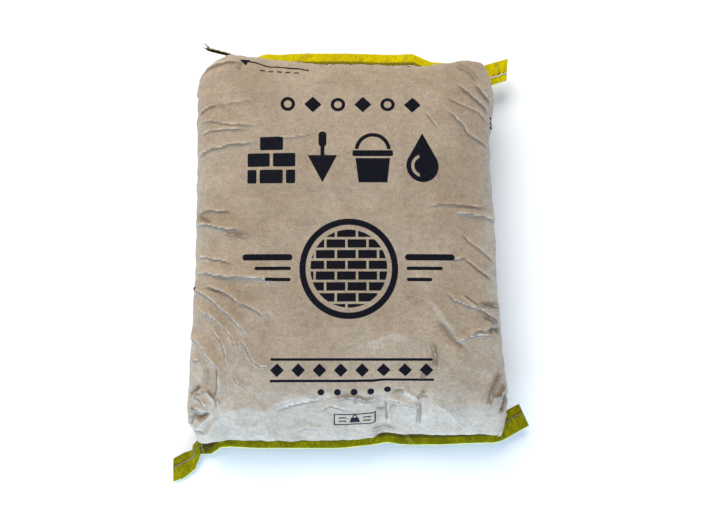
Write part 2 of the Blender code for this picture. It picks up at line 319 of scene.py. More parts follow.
def end_profile(seam):
    """Fine steps from the root of a flap to the crown: upper y and z, lower y and z, how far the
    ring has left the flap's width, how far it still follows the seam's own bends, how much it
    puffs, and how far the slope of the bottom end lies below a round end, mid-width and at a side.
    """
    side = seam["side"]
    bulge_y = BODY_LENGTH / 2
    bulge_z = BULGE_HEIGHT[side]
    start, outward, _ = seam_frame(seam, 0.0)
    shift_y, shift_z = seam_shift(seam, 0.0)
    root = start - Vector((0, shift_y, shift_z)) - outward * (STITCH_TO_INNER_EDGE + FLAP_ROOT)
    root_y = abs(root.y)
    climb = np.linspace(0, 1, CLIMB_STEPS)[1:]
    turn = np.linspace(0, math.pi / 2, TURN_STEPS)[1:-LEFT_STEPS]
    upper_y = np.concatenate((
        root_y + (bulge_y - root_y) * smooth_step(climb, 0, 1),
        bulge_y * np.cos(turn) ** (2 / END_SQUARENESS),
    ))
    upper_z = np.concatenate((
        root.z + FLAP_THICKNESS / 2 + (bulge_z - root.z) * climb,
        bulge_z + (THICKNESS - bulge_z) * np.sin(turn) ** (2 / CROWN_SQUARENESS),
    ))
    slopes = []
    for slope_start, most in zip(SLOPE_STARTS, SLOPE_SHARES):
        start_z = np.interp(slope_start, upper_y[::-1], upper_z[::-1])
        slope = np.interp(upper_y, (slope_start, bulge_y), (start_z, bulge_z))
        share = most * smooth_step(upper_y, *(slope_start + shift for shift in SLOPE_RAMP))
        slopes.append(share * (upper_z - slope) * (upper_z > bulge_z) * (side < 0))
    # The solid's ring that each fine step stands at, between whole ones.
    shoulder = BULGE_RINGS + turn / (math.pi / 2) * (SHOULDER_RINGS + 1)
    index = np.concatenate((climb * BULGE_RINGS, shoulder))
    inward = np.minimum(1.0, index / (BULGE_RINGS + SHOULDER_RINGS - 1))
    lower_y = root_y + (np.minimum(bulge_y - BASE_REACH, upper_y) - root_y) * inward
    lower_z = (root.z - FLAP_THICKNESS / 2) * (1 - inward) ** BASE_CURVE
    corner = smooth_step(index / BULGE_RINGS, 0, CORNER_SPREAD)
    hold = np.maximum(0.0, 1 - index / (BULGE_RINGS + 1))
    puff = np.minimum(1.0, index / PUFF_RINGS) * smooth_step(upper_y, *PUFF_REACH)
    return np.column_stack(
        (side * upper_y, upper_z, side * lower_y, lower_z, corner, hold, puff, *slopes)
    )


def resampled(profile, spacing):
    """The profile at even steps along its upper line."""
    steps = np.hypot(np.diff(profile[:, 0]), np.diff(profile[:, 1]))
    reach = np.concatenate(([0], np.cumsum(steps)))
    even = np.linspace(0, reach[-1], max(2, round(reach[-1] / spacing)) + 1)
    return np.column_stack([np.interp(even, reach, column) for column in profile.T])


def flap_row(seam, shares, rises, back, thickness):
    """One row round the flattened flap, back from the fold of the tape."""
    reach = STITCH_TO_FOLD - TAPE_THICKNESS - TAPE_CLEARANCE - back
    row = []
    for share, rise in zip(shares, rises):
        width = PAPER_REACH[seam["side"], 1 if share > 0 else -1]
        start, outward, upward = seam_frame(seam, share * width)
        height = thickness / 2 * float(signed_power(rise, FLAP_FLATNESS))
        row.append(start + outward * reach + upward * height)
    return np.array(row)


def body_row(profile, seam, shares, rises):
    """One row round the filled body, flat where it lies on the floor."""
    upper_y, upper_z, lower_y, lower_z, corner, hold, puff, *slopes = profile
    end = 1 if upper_y > 0 else -1
    widths = []
    for side, table in ((1, RIGHT_EDGE), (-1, LEFT_EDGE)):
        reach = PAPER_REACH[end, side]
        widths.append(reach + (np.interp(upper_y, *np.transpose(table)) - reach) * corner)
    x = shares * np.where(shares > 0, widths[0], widths[1])
    middle = (upper_z + lower_z) / 2
    near_side = smooth_step(np.abs(x), *SLOPE_SIDE)
    upper_z = upper_z - slopes[0] * (1 - near_side) - slopes[1] * near_side
    below = middle - lower_z + (FLATTENING if lower_z <= ON_FLOOR else 0.0)
    z = middle + rises * np.where(rises > 0, upper_z - middle, below)
    lag = np.where(shares > 0, CORNER_LAG[end, 1], CORNER_LAG[end, -1])
    y = lower_y + (upper_y - lower_y) * ((1 + rises) / 2) ** lag
    if seam:
        shift_y, shift_z = root_shift(seam, x)
        y = y + shift_y * hold
        z = z + shift_z * hold
        place, out, up = np.transpose(END_PUFF[end])
        upper = smooth_step(rises, *PUFF_RISES) * puff
        y = y + end * np.interp(x, place, out) * upper
        z = z + np.interp(x, place, up) * upper * smooth_step(upper_z, *PUFF_HEIGHTS)
    return np.column_stack((x, y, np.maximum(z, 0.0)))


def sack_rows():
    """Every row of the sack from the bottom seam to the top one, the distances across and along
    the paper from the crown's middle, and how far each row is free to fold: 0 is a flap.
    """
    shares, rises, across = ring_shares()

    def flap(seam):
        return [flap_row(seam, shares, rises, back, thick) for back, thick in FLAP_BACKS]

    bottom = resampled(end_profile(BOTTOM), ROW_SPACING)
    top = resampled(end_profile(TOP), ROW_SPACING)[::-1]
    span = top[0, 0] - bottom[-1, 0]
    count = round(span / ROW_SPACING)
    part = np.linspace(0, 1, count + 1)[1:-1, None]
    middle = bottom[-1] * (1 - part) + top[0] * part
    rows = flap(BOTTOM)
    rows += [body_row(profile, BOTTOM, shares, rises) for profile in bottom]
    rows += [body_row(profile, None, shares, rises) for profile in middle]
    rows += [body_row(profile, TOP, shares, rises) for profile in top]
    rows += flap(TOP)[::-1]
    rows = np.array(rows)
    crown = rows[:, len(shares) // 2]
    steps = np.linalg.norm(np.diff(crown, axis=0), axis=1)
    along = np.concatenate(([0], np.cumsum(steps)))
    along -= np.interp(0.0, crown[:, 1], along)
    reach = np.arange(len(rows)) - (len(FLAP_BACKS) - 1.0)
    body = smooth_step(np.minimum(reach, reach[::-1]), 0, FOLD_FREE_ROWS)
    return rows, across, along, body


def seen_by_camera(points):
    """Where points fall in the camera's frame, counted from its top left corner."""
    place = np.array(CAMERA_AIM + CAMERA_AWAY * CAMERA_DISTANCE)
    up = np.array((0, math.sin(CAMERA_ELEVATION), math.cos(CAMERA_ELEVATION)))
    offset = points - place
    depth = -(offset @ np.array(CAMERA_AWAY))
    right = VIEW_CENTRE[0] + FOCAL_POINTS * offset[..., 0] / depth
    down = VIEW_CENTRE[1] - FOCAL_POINTS * (offset @ up) / depth
    return np.stack((right, down), axis=-1)


# Folds pressed into the paper, each as its height, how far its left and right flanks reach, both
# in millimetres, and the places that it runs through in the camera's frame. Left and right are
# as met on the way along the fold. A fold of negative height is a valley.
FOLDS = (
    # The top left corner.
    (0.9, 9, 4, ((202, 73), (208, 69), (218, 64), (227, 62), (240, 62))),
    (0.6, 4, 3, ((240, 62), (237, 70))),
    (1.1, 9, 3.5, ((199, 115), (204, 111), (210, 107), (217, 105))),
    (0.5, 5, 3, ((217, 107), (222, 107), (225, 110))),
    (0.4, 9, 5, ((224, 104), (235, 102), (252, 100))),
    (0.8, 8, 3.5, ((200, 124), (210, 121), (217, 121.5), (225, 124), (240, 125), (256, 125))),
    (1.0, 9, 3.5, ((200, 135), (206, 133), (212, 131), (225, 129), (246, 129))),
    (1.2, 12, 4, ((198, 158), (204, 153), (211, 149), (222, 147), (228, 144), (240, 144), (255, 141))),
    (0.6, 12, 4, ((264, 139), (280, 137), (293, 136.5), (303, 135), (312, 133))),
    (0.5, 7, 7, ((281, 76), (284, 86), (288, 96))),
    # The top right corner.
    (1.9, 9, 2.5, ((457, 84), (463, 90), (468, 94), (472, 98), (478, 103), (484, 109), (488, 114))),
    (0.8, 6, 5, ((476, 84), (483, 94), (488, 100), (490, 105))),
    (0.6, 7, 3.5, ((447, 97), (460, 104), (478, 112), (488, 123))),
    (0.7, 7, 3.5, ((426, 112), (433, 121), (438, 127))),
    (0.6, 9, 9, ((438, 127), (448, 126), (455, 126), (463, 129))),
    (1.7, 11, 3, ((446, 109), (455, 118), (463, 126), (467, 134), (473, 138), (480, 142), (488, 148))),
    (0.5, 9, 6, ((405, 66), (430, 80), (452, 89))),
    (0.5, 5, 5, ((455, 64), (470, 72), (478, 82))),
    # The left side.
    (1.1, 9, 3, ((197, 215), (203, 212), (211, 210.5), (222, 211), (232, 211.5))),
    (-0.9, 4, 4, ((199, 217), (205, 220), (212, 223))),
    (2.2, 10, 4.5, ((197, 226), (201, 224.5), (208, 224.5), (213, 226), (221, 228), (232, 229.5),
                    (243, 230))),
    (0.7, 5, 4, ((222, 233), (235, 235.5), (250, 236.5))),
    (1.1, 10, 3.5, ((197, 257), (208, 257), (211, 259), (220, 259.5), (231, 263))),
    (2.4, 10, 4, ((196, 273), (203, 273), (211, 273.5), (214, 275), (222, 276), (232, 277), (252, 277.5),
                  (262, 278.5), (270, 281), (277, 284))),
    (0.4, 8, 8, ((247, 252), (250, 272))),
    (1.8, 10, 4, ((205, 288), (211, 287), (215, 289), (220, 290), (224, 292), (231, 296), (238, 302),
                  (241, 304.5))),
    (1.2, 8, 5, ((239, 304), (245, 304.5), (252, 308), (258, 311), (264, 317))),
    (0.5, 6, 6, ((262, 301), (270, 309), (278, 319))),
    (2.7, 9, 4, ((194, 287), (198, 291), (203, 293), (209, 297), (213, 300), (218, 305), (223.5, 310))),
    (1.8, 7, 3.5, ((221, 309), (226, 312), (231, 317), (236, 323), (241, 328), (246, 334))),
    (1.6, 7, 2.5, ((196, 306), (200, 310), (205, 313.5), (209, 315), (214, 318.5), (219, 323),
                   (224, 327.5))),
    (1.0, 6, 3, ((223, 327), (226, 330), (230, 334), (233, 339), (236, 350))),
    (0.5, 4, 4, ((206, 313), (204, 317))),
    (1.0, 7, 3, ((211, 328), (215, 333), (219, 338), (223, 345), (225, 352), (226, 364))),
    (1.0, 7, 3.5, ((239, 339), (245, 345), (248, 351), (250, 356), (254, 362), (260, 366), (266, 366),
                   (271, 363))),
    (0.9, 7, 3, ((234, 376), (237, 382), (241, 385), (247, 388.5))),
    # The gusset at the bottom left corner.
    (2.6, 14, 4.5, ((192, 333), (195, 339), (198, 341), (203, 347), (207, 355), (211, 359.5),
                    (214, 364), (219, 366))),
    (1.9, 12, 5, ((218, 364), (219, 376), (219, 388), (218, 392), (216.5, 398), (218, 402), (219, 411))),
    (-1.4, 4, 4, ((190, 395), (194, 391), (200, 386))),
    (1.2, 6, 4.5, ((193, 396), (198, 392), (206, 391))),
    (1.5, 6, 4, ((192, 362), (196, 359.5), (200, 361))),
    (0.9, 9, 9, ((200, 361), (203, 372), (200, 385))),
    (-0.9, 9, 9, ((207, 366), (209, 376), (206, 386))),
    (1.0, 8, 4.5, ((193, 395), (200, 399), (206, 408))),
    (0.9, 5, 6, ((206, 391), (212, 398), (218, 402))),
    (-2.0, 8, 3.5, ((191, 412), (196, 415.5), (200, 418.5), (204, 417), (209, 412))),
    (0.9, 5.5, 8, ((192, 407), (198, 408), (204, 410.5), (209, 411))),
    (1.1, 4, 4, ((190, 408), (195, 412), (199, 417))),
    (1.7, 6, 6, ((194, 431), (200, 425), (207, 417))),
    (1.7, 6, 6, ((205, 436), (211, 428), (218, 416))),
    (-1.1, 3, 3, ((189, 416), (193, 417), (191, 424))),
    (-0.8, 3, 3, ((193, 429.5), (198, 432), (204, 433))),
    # The shoulder over the bottom end.
    (0.6, 14, 10, ((219, 414.5), (237, 410), (250, 407), (256, 407))),
    (0.9, 12, 8, ((256, 413), (266, 410), (275, 404), (283, 401.5), (291, 399.5), (300, 398), (314, 396))),
    (0.8, 7, 5, ((277, 409), (290, 404.5), (305, 401), (320, 399))),
    (1.3, 9, 4.8, ((321, 410), (326, 405.5), (331, 404.5), (338, 406), (347, 409.5))),
    (0.8, 5, 5, ((333, 400), (345, 397), (357, 398), (366, 401), (377, 399))),
    (0.5, 7, 4, ((298, 430), (304, 427.5), (312, 427), (322, 429))),
    (-0.7, 3, 3, ((354, 403), (358, 400))),
    (-0.7, 3, 3, ((377, 407), (382, 408.5), (386, 406))),
    (1.1, 7, 5, ((387, 398), (388, 410), (388, 421))),
    (2.0, 10, 4.5, ((387, 398), (394, 398.5), (400, 400.5), (408, 403.5), (417, 406))),
    (-0.7, 3, 3, ((393, 391.5), (399, 389.5), (405, 390.5))),
    (1.0, 6, 6, ((405, 390.5), (411, 394), (418, 399.5))),
    (0.9, 4, 3, ((417, 400), (421, 396), (425, 390))),
    (-0.5, 3, 3, ((421, 397), (425, 395.5), (429, 396))),
    (0.8, 4, 4, ((418, 401), (419, 411), (417.5, 425))),
    (-0.5, 3, 3, ((391, 408), (394, 404), (397, 406))),
    (0.9, 4, 4, ((421, 381), (424, 374), (428, 367))),
    (0.7, 8, 8, ((437, 405), (448, 412), (458, 424))),
    (0.6, 9, 9, ((230, 420), (236, 424), (250, 428), (268, 425))),
    (0.5, 5, 4, ((373, 431), (378, 428.5), (384, 426.5), (390, 428), (395, 430))),
    # The right side.
    (0.8, 8, 4, ((426, 205), (445, 204), (460, 205), (470, 205.5), (485, 208))),
    (2.0, 7, 2.8, ((454, 214.5), (459, 213), (466, 213.5), (476, 215.5), (485, 217.5), (491, 219),
                   (494, 223))),
    (0.7, 6, 4, ((461, 233), (470, 242), (480, 249), (488, 256), (495, 263))),
    (1.0, 7, 4, ((450, 256), (454, 259), (457, 259), (466, 257))),
    (1.0, 7, 4, ((464, 258), (472, 264), (480, 270.5), (492, 280))),
    (0.5, 7, 7, ((420, 270), (423, 280), (428, 288))),
    (0.9, 8, 6, ((424, 298), (431, 299), (434, 304), (440, 312), (445, 320), (451, 326), (456, 331))),
    (1.3, 9, 3.5, ((447, 293), (453, 299.5), (460, 302.5), (468, 306), (477, 308.5))),
    (1.0, 5, 7, ((462, 296), (470, 302), (478, 308))),
    (2.1, 7, 3, ((476, 307.5), (484, 312), (490, 317), (499, 325))),
    (0.9, 5, 4, ((478, 307), (482, 305), (488, 304.5), (499, 307))),
    (0.9, 4, 3, ((482, 315.5), (489, 318.5), (496, 323))),
    (-1.6, 8, 7, ((440, 321), (446, 330), (452, 338), (460, 346), (468, 352))),
    (1.8, 9, 4, ((457, 341.5), (463, 339.5), (470, 336.5), (480, 334.5), (490, 335.5))),
    (1.4, 6, 4, ((470, 334.5), (478, 330), (484, 331.5), (491, 327), (500, 327))),
    (-1.6, 5, 5, ((490, 335), (492, 329), (497, 329), (499, 335))),
    (0.7, 5, 5, ((432, 344), (435, 354), (435, 369))),
    (0.9, 12, 9, ((368, 344), (383, 337), (395, 333), (406, 338))),
    (1.6, 4, 5, ((501, 371), (497, 380), (491, 394), (488, 407))),
    (1.8, 3, 5, ((505, 384), (501, 392), (500, 396), (493, 398))),
    (-2.4, 3, 3, ((507, 392), (505, 400), (502, 410), (499, 412))),
)
METRES_PER_POINT = 0.00127  # on the crown
SNAP_REACH = 0.0008  # a point this near a fold is moved onto it
FOLD_STRENGTH = 2.2  # by which the heights above are multiplied
FULL_FOLD = 0.0018  # a fold this high gets its full line of wear and painted highlight
FULL_SHADE = 0.0020  # and one this high its full painted shade
STEEP_REACH = 0.005  # a flank that reaches no further than this is steep
FLANK_HOLLOW = 1.5  # the power that hollows a longer one
GENTLE_SHARPNESS = 0.3  # of a fold with no steep flank, where 1 is a sharp one
# A fold's taper towards its ends: how fast it rises from them, its least share, and its roundness.
TAPER_RISE = 6
TAPER_LEAST = 0.10
TAPER_POWER = 0.7
STEEP_CREST = 0.0010  # the width of the line of wear and painted highlight on a steep flank
GENTLE_CREST = 0.0024  # and on a gentle one
# The shade at a fold's foot: its reach in flanks, and the shares of it where it is full and fades.
SHADE_REACH = 1.1
SHADE_FULL = 0.15
SHADE_FADE = 0.40


class Creases:
    """The relief pressed into the paper, and where its crests and feet are."""

    def __init__(self, shape):
        self.height = np.zeros(shape)
        self.crest = np.zeros(shape)
        self.foot = np.zeros(shape)
        self.shift = np.zeros((*shape, 2))

    def press(self, area, here, route, height, left_reach, right_reach):
        """Presses one fold into an area of the grid. Here holds its places in the route's frame,
        y counted downwards, and all lengths are in metres.
        """
        lengths = np.linalg.norm(np.diff(route, axis=0), axis=1)
        nearest = np.full(here.shape[:-1], np.inf)
        side = np.zeros(nearest.shape)
        travelled = np.zeros(nearest.shape)
        gap = np.zeros(here.shape)
        before = 0.0
        for start, end, length in zip(route[:-1], route[1:], lengths):
            way = (end - start) / length
            offset = here - start
            along = np.clip(offset @ way, 0, length)
            away = offset - along[..., None] * way
            distance = np.hypot(away[..., 0], away[..., 1])
            closer = distance < nearest
            nearest = np.where(closer, distance, nearest)
            side = np.where(closer, np.sign(way[1] * away[..., 0] - way[0] * away[..., 1]), side)
            travelled = np.where(closer, before + along, travelled)
            gap = np.where(closer[..., None], away, gap)
            before += length
        left = side > 0
        reach = np.where(left, left_reach, right_reach)
        flank = np.clip(1 - nearest / reach, 0, 1)
        flank = np.where(reach > STEEP_REACH, flank**FLANK_HOLLOW, flank)
        share = travelled / before
        taper = np.clip(np.minimum(share, 1 - share) * TAPER_RISE, TAPER_LEAST, 1) ** TAPER_POWER
        self.height[area] += height * flank * taper
        strength = min(1.0, abs(height) / FULL_FOLD) * taper
        steep = np.where(left, left_reach <= STEEP_REACH, right_reach <= STEEP_REACH)
        sharpness = 1.0 if min(left_reach, right_reach) <= STEEP_REACH else GENTLE_SHARPNESS
        width = np.where(steep, STEEP_CREST, GENTLE_CREST)
        # The crest line, for a colour that is partly wear and partly painted highlight.
        crest = np.clip(1 - nearest / width, 0, 1) * strength * sharpness
        self.crest[area] = np.maximum(self.crest[area], crest * (height > 0))
        # The foot of a steep flank, and a valley, for painted shade.
        part = np.clip(nearest / (SHADE_REACH * reach), 0, 1)
        if height < 0:
            shade = (1 - part) * sharpness
        else:
            fading = smooth_step(part, SHADE_FADE, 1)
            shade = np.minimum(1, part / SHADE_FULL) * (1 - fading) * steep
        depth = min(1.0, abs(height) / FULL_SHADE) * taper
        self.foot[area] = np.maximum(self.foot[area], shade * depth)
        snapped = (nearest < SNAP_REACH) & (share > 0) & (share < 1)
        self.shift[area] = np.where(snapped[..., None], -gap, self.shift[area])


def press_seen_folds(creases, points):
    """The folds that the camera sees, by their places in its frame."""
    seen = seen_by_camera(points) * METRES_PER_POINT
    for height, left_reach, right_reach, route in FOLDS:
        route = np.array(route, float) * METRES_PER_POINT
        most = max(left_reach, right_reach) / 1000
        near = np.all((seen > route.min(0) - most) & (seen < route.max(0) + most), axis=-1)
        area = np.nonzero(near)
        if len(area[0]):
            height *= FOLD_STRENGTH / 1000
            creases.press(area, seen[area], route, height, left_reach / 1000, right_reach / 1000)


# The small random folds of the side walls, with the least and the most of each measure. Their
# distance is counted along the paper from the crown's middle.
SMALL_FOLDS = 420
SMALL_FOLD_SEED = 25
SMALL_FOLD_DISTANCE = (0.215, 0.300)
SMALL_FOLD_Y = (-0.245, 0.245)
SMALL_FOLD_LENGTH = (0.012, 0.055)
SMALL_FOLD_HEIGHT = (0.0004, 0.0018)
SMALL_FOLD_REACH = (0.003, 0.009)
SMALL_FOLD_LEAN = 0.75  # the usual lean off the sack's length, in radians
SMALL_FOLD_KINK = 0.15  # the usual shift of the middle, as a share of the length
# Long creases along each side wall, as offset from its middle, height and reach: the gusset's
# valley, and the two lines where it was folded flat.
GUSSET_LINES = ((0.0, -0.0016, 0.008), (-0.036, 0.0009, 0.005), (0.036, 0.0009, 0.005))
GUSSET_Y = (-0.235, 0.235)
GUSSET_POINTS = 12
GUSSET_WANDER = 0.0015
EVERYWHERE = (slice(None), slice(None))


def press_small_folds(creases, across, along):
    """Folds where the camera's own list has none, placed on the flat sheet: small random ones on
    the side walls and the outer part of the underside, and the long ones of each gusset.
    """
    chance = np.random.default_rng(SMALL_FOLD_SEED)
    sheet = np.stack(np.meshgrid(across, -along), axis=-1)
    for _ in range(SMALL_FOLDS):
        start_x = chance.choice((-1, 1)) * chance.uniform(*SMALL_FOLD_DISTANCE)
        start_y = chance.uniform(*SMALL_FOLD_Y)
        length = chance.uniform(*SMALL_FOLD_LENGTH)
        lean = chance.normal(0, SMALL_FOLD_LEAN)
        height = chance.uniform(*SMALL_FOLD_HEIGHT) * chance.choice((-1, 1, 1))
        reaches = chance.uniform(*SMALL_FOLD_REACH, 2)
        kink = chance.normal(0, SMALL_FOLD_KINK, 2) * length
        start = np.array((start_x, start_y))
        end = start + length * np.array((math.sin(lean), math.cos(lean)))
        route = np.array((start, (start + end) / 2 + kink, end))
        low, high = route.min(0) - reaches.max(), route.max(0) + reaches.max()
        rows = slice(*np.searchsorted(along, (-high[1], -low[1])))
        columns = slice(*np.searchsorted(-across, (-high[0], -low[0])))
        if rows.start < rows.stop and columns.start < columns.stop:
            area = (rows, columns)
            creases.press(area, sheet[area], route, height, *reaches)
    for side in (-1, 1):
        for offset, height, reach in GUSSET_LINES:
            route_y = np.linspace(*GUSSET_Y, GUSSET_POINTS)
            wander = chance.normal(0, GUSSET_WANDER, GUSSET_POINTS)
            route = np.column_stack((side * (across[0] / 2 + offset) + wander, route_y))
            creases.press(EVERYWHERE, sheet, route, height, reach, reach)


SEED_STEPS = (7.31, 3.17, 5.53)  # how far the noise moves from one seed to the next


def noise_field(points, scale, seed, octaves=2):
    """Smooth noise from -1 to 1 at each point."""
    offset = Vector([seed * step for step in SEED_STEPS])
    flat = points.reshape(-1, 3) / scale + np.array(offset)
    found = [noise.fractal(point, 1.0, 2.0, octaves) for point in flat.tolist()]
    return np.array(found).reshape(points.shape[:-1])


def unit(vectors):
    return vectors / np.maximum(np.linalg.norm(vectors, axis=-1, keepdims=True), 1e-9)


FACET_WAVES = 5
FACET_LENGTHS = (0.8, 1.5)  # of a wave, as shares of the usual length
FACET_BEND = 0.35  # of a crest, as a share of its wave's length,
FACET_BEND_PACE = 1.3  # and in radians for each usual length along it
FACET_FADE_PACE = 0.9
FACET_FADE_LEAN = 0.4  # how far the fading leans over to the wave's own way
FACET_PHASES = (0, 6)  # in radians


def facets(sheet, length, seed):
    """Flat facets with straight crests between them, from -1 to 1: several folded waves that
    cross, each bent a little and fading in and out.
    """
    chance = np.random.default_rng(seed)
    total = np.zeros(sheet.shape[:-1])
    for _ in range(FACET_WAVES):
        angle = chance.uniform(0, math.pi)
        way = np.array((math.cos(angle), math.sin(angle)))
        side = np.array((-way[1], way[0]))
        wave = sheet @ way / (length * chance.uniform(*FACET_LENGTHS)) + chance.uniform(0, 1)
        bend = np.sin(sheet @ side / length * FACET_BEND_PACE + chance.uniform(*FACET_PHASES))
        wave = wave + FACET_BEND * bend
        fading = sheet @ (side + way * FACET_FADE_LEAN) / length * FACET_FADE_PACE
        fade = 0.5 + 0.5 * np.sin(fading + chance.uniform(*FACET_PHASES))
        total += (np.abs(wave % 1 - 0.5) * 4 - 1) * fade
    return total / (FACET_WAVES / 2)


COARSE_STEP = 4  # rows and columns of the sack to each one of the cloth
CLOTH_FRAMES = 20
CLOTH_STIFFNESS = 30.0
CLOTH_BENDING = 15.0
CLOTH_PRESSURE = 0.3
CLOTH_SLACK = 0.012  # how much larger the paper is than its form
CLOTH_HOLD = 0.05  # how firmly the filling holds the paper in place
HELD_BELOW = 0.0015  # paper lower than this stays where it is, on the floor
MOST_SETTLING = 0.0045  # no point moves further than this


def spline_weights(count, knots):
    """Weights that carry values at the knots smoothly to every whole place below count."""
    weights = np.zeros((count, len(knots)))
    for place in range(count):
        first = min(max(np.searchsorted(knots, place, side="right") - 1, 0), len(knots) - 2)
        t = (place - knots[first]) / (knots[first + 1] - knots[first])
        shares = (
            -0.5 * t**3 + t * t - 0.5 * t, 1.5 * t**3 - 2.5 * t * t + 1,
            -1.5 * t**3 + 2 * t * t + 0.5 * t, 0.5 * t**3 - 0.5 * t * t,
        )
        for offset, share in zip((-1, 0, 1, 2), shares):
            weights[place, min(max(first + offset, 0), len(knots) - 1)] += share
    return weights


def settled(rows, body):
    """The rows after the paper has settled on its filling: a coarse copy of them is simulated as
    cloth under a little pressure, and its movement is carried to the fine rows.
    """
    counts = rows.shape[:2]
    knots = [np.linspace(0, n - 1, (n - 1) // COARSE_STEP + 1).round().astype(int) for n in counts]
    coarse = rows[np.ix_(*knots)]
    coarse[:, -1] = coarse[:, 0]
    columns = len(knots[1])
    piece = grid_piece("settling_paper", columns, len(knots[0]))
    put_vertices(piece, coarse.reshape(-1, 3))
    store_value(piece, "number", np.arange(coarse[..., 0].size))
    close_tube(piece)
    numbers = stored_value(piece, "number").round().astype(int)
    before = vertex_array(piece)
    on_flap = body[knots[0]][numbers // columns] < 0.5
    on_floor = before[:, 2] < HELD_BELOW
    held = piece.vertex_groups.new(name="held")
    held.add(range(len(before)), CLOTH_HOLD, "REPLACE")
    held.add(np.nonzero(on_flap | on_floor)[0].tolist(), 1.0, "REPLACE")
    cloth = piece.modifiers.new("filling", "CLOTH")
    settings = cloth.settings
    settings.quality = 6
    settings.mass = 0.2
    settings.tension_stiffness = CLOTH_STIFFNESS
    settings.compression_stiffness = CLOTH_STIFFNESS
    settings.shear_stiffness = CLOTH_STIFFNESS / 2
    settings.bending_stiffness = CLOTH_BENDING
    settings.use_pressure = True
    settings.uniform_pressure_force = CLOTH_PRESSURE
    settings.effector_weights.gravity = 0
    settings.shrink_min = settings.shrink_max = -CLOTH_SLACK
    settings.vertex_group_mass = held.name
    settings.pin_stiffness = 2.0
    cloth.collision_settings.use_collision = False
    for number in range(1, CLOTH_FRAMES + 1):
        bpy.context.scene.frame_set(number)
    select_only(piece)
    bpy.ops.object.modifier_apply(modifier=cloth.name)
    moved = np.zeros((coarse[..., 0].size, 3))
    moved[numbers] = vertex_array(piece) - before
    moved = moved.reshape(coarse.shape)
    moved[:, :1] = moved[:, -1:] = moved[:, :1] + moved[:, -1:]  # one of the two was merged away
    bpy.data.objects.remove(piece)
    bpy.context.scene.frame_set(1)
    by_row, by_column = (spline_weights(n, knot) for n, knot in zip(counts, knots))
    fine = np.einsum("ij,jkc,lk->ilc", by_row, moved, by_column, optimize=True)
    distance = np.linalg.norm(fine, axis=-1, keepdims=True)
    return rows + fine * (body[:, None, None] * MOST_SETTLING / (MOST_SETTLING + distance))


# By how far the paper faces up: the open face, from none of it to all of it, and the side walls,
# from all of them to none.
OPEN_FACE = (-0.15, 0.25)
SIDE_WALLS = (-0.25, 0.45)
FACES_DOWN = -0.5
# Where the crumpling grows, out to the sides and to the ends, and the heights over which the paper
# comes free of the floor.
CRUMPLED_SIDES = (0.150, 0.190)
CRUMPLED_ENDS = (0.180, 0.235)
FREE_HEIGHTS = (0.002, 0.020)
SLACK_HEIGHT = 0.0011
SLACK_LENGTH = 0.085
SLACK_SEED = 1
SLACK_ON_WALLS = 0.35  # as a share of that on the face
# Each crumpling as the length of its facets, its seed, its height all over, and what the sides and
# the ends add to that.
CRUMPLINGS = ((0.026, 4, 0.00026, 0.00095), (0.011, 9, 0.00007, 0.00034))


def shape_paper(points, across, along, body):
    """Gives the smooth rows their folds, buckles and slack. Body is 0 on the flaps under the
    tape. Returns the shaped rows, and the strength of the crests and of the feet.
    """
    way_across = unit(-np.gradient(points, axis=1))
    way_along = unit(np.gradient(points, axis=0))
    normals = unit(np.cross(way_across, way_along))
    mask = body[:, None]
    facing = normals[..., 2]
    open_face = smooth_step(facing, *OPEN_FACE) * mask
    walls = (1 - smooth_step(facing, *SIDE_WALLS)) * mask

    seen = Creases(points.shape[:2])
    press_seen_folds(seen, points)
    small = Creases(points.shape[:2])
    press_small_folds(small, across, along)

    sheet = np.stack(np.meshgrid(across, along), axis=-1)
    at_side = smooth_step(np.abs(points[..., 0]), *CRUMPLED_SIDES)
    at_end = smooth_step(np.abs(points[..., 1]), *CRUMPLED_ENDS)
    weight = np.maximum(at_side, at_end)
    free = smooth_step(points[..., 2], *FREE_HEIGHTS) * mask
    slack = SLACK_HEIGHT * noise_field(points, SLACK_LENGTH, SLACK_SEED)
    slack = slack * (SLACK_ON_WALLS + (1 - SLACK_ON_WALLS) * facing**2)
    crumple = np.zeros(points.shape[:2])
    for length, seed, all_over, added in CRUMPLINGS:
        crumple += facets(sheet, length, seed) * (all_over + added * weight)
    moved = seen.height * open_face + small.height * walls + (slack + crumple) * free

    shifted = np.zeros(points.shape)
    shifted[..., 0] = seen.shift[..., 0]
    shifted[..., 1] = -seen.shift[..., 1]
    shifted *= open_face[..., None]
    on_sheet = way_across * small.shift[..., :1] - way_along * small.shift[..., 1:]
    shifted += on_sheet * (walls * (1 - open_face))[..., None]
    shaped = points + normals * moved[..., None] + shifted
    shaped[..., 2] = np.maximum(shaped[..., 2], 0.0)
    inside = shaped[..., 0] - BACK_SEAM_X
    tuck = (inside > 0) * (1 - smooth_step(inside, 0.0, BACK_SEAM_FADE))
    shaped[..., 2] += BACK_SEAM_STEP * tuck * (facing < FACES_DOWN) * mask
    crest = np.maximum(seen.crest * open_face, small.crest * walls)
    foot = np.maximum(seen.foot * open_face, small.foot * walls)
    return shaped, crest, foot


MERGE_WITHIN = 0.00001
SHARP_BEND = math.radians(20)  # a sharper one is shaded as an edge


def close_tube(piece):
    """Joins the grid's two edges, and turns its faces out."""
    select_only(piece)
    bpy.ops.object.mode_set(mode="EDIT")
    bpy.ops.mesh.select_all(action="SELECT")
    bpy.ops.mesh.remove_doubles(threshold=MERGE_WITHIN)
    bpy.ops.mesh.normals_make_consistent(inside=False)
    bpy.ops.object.mode_set(mode="OBJECT")


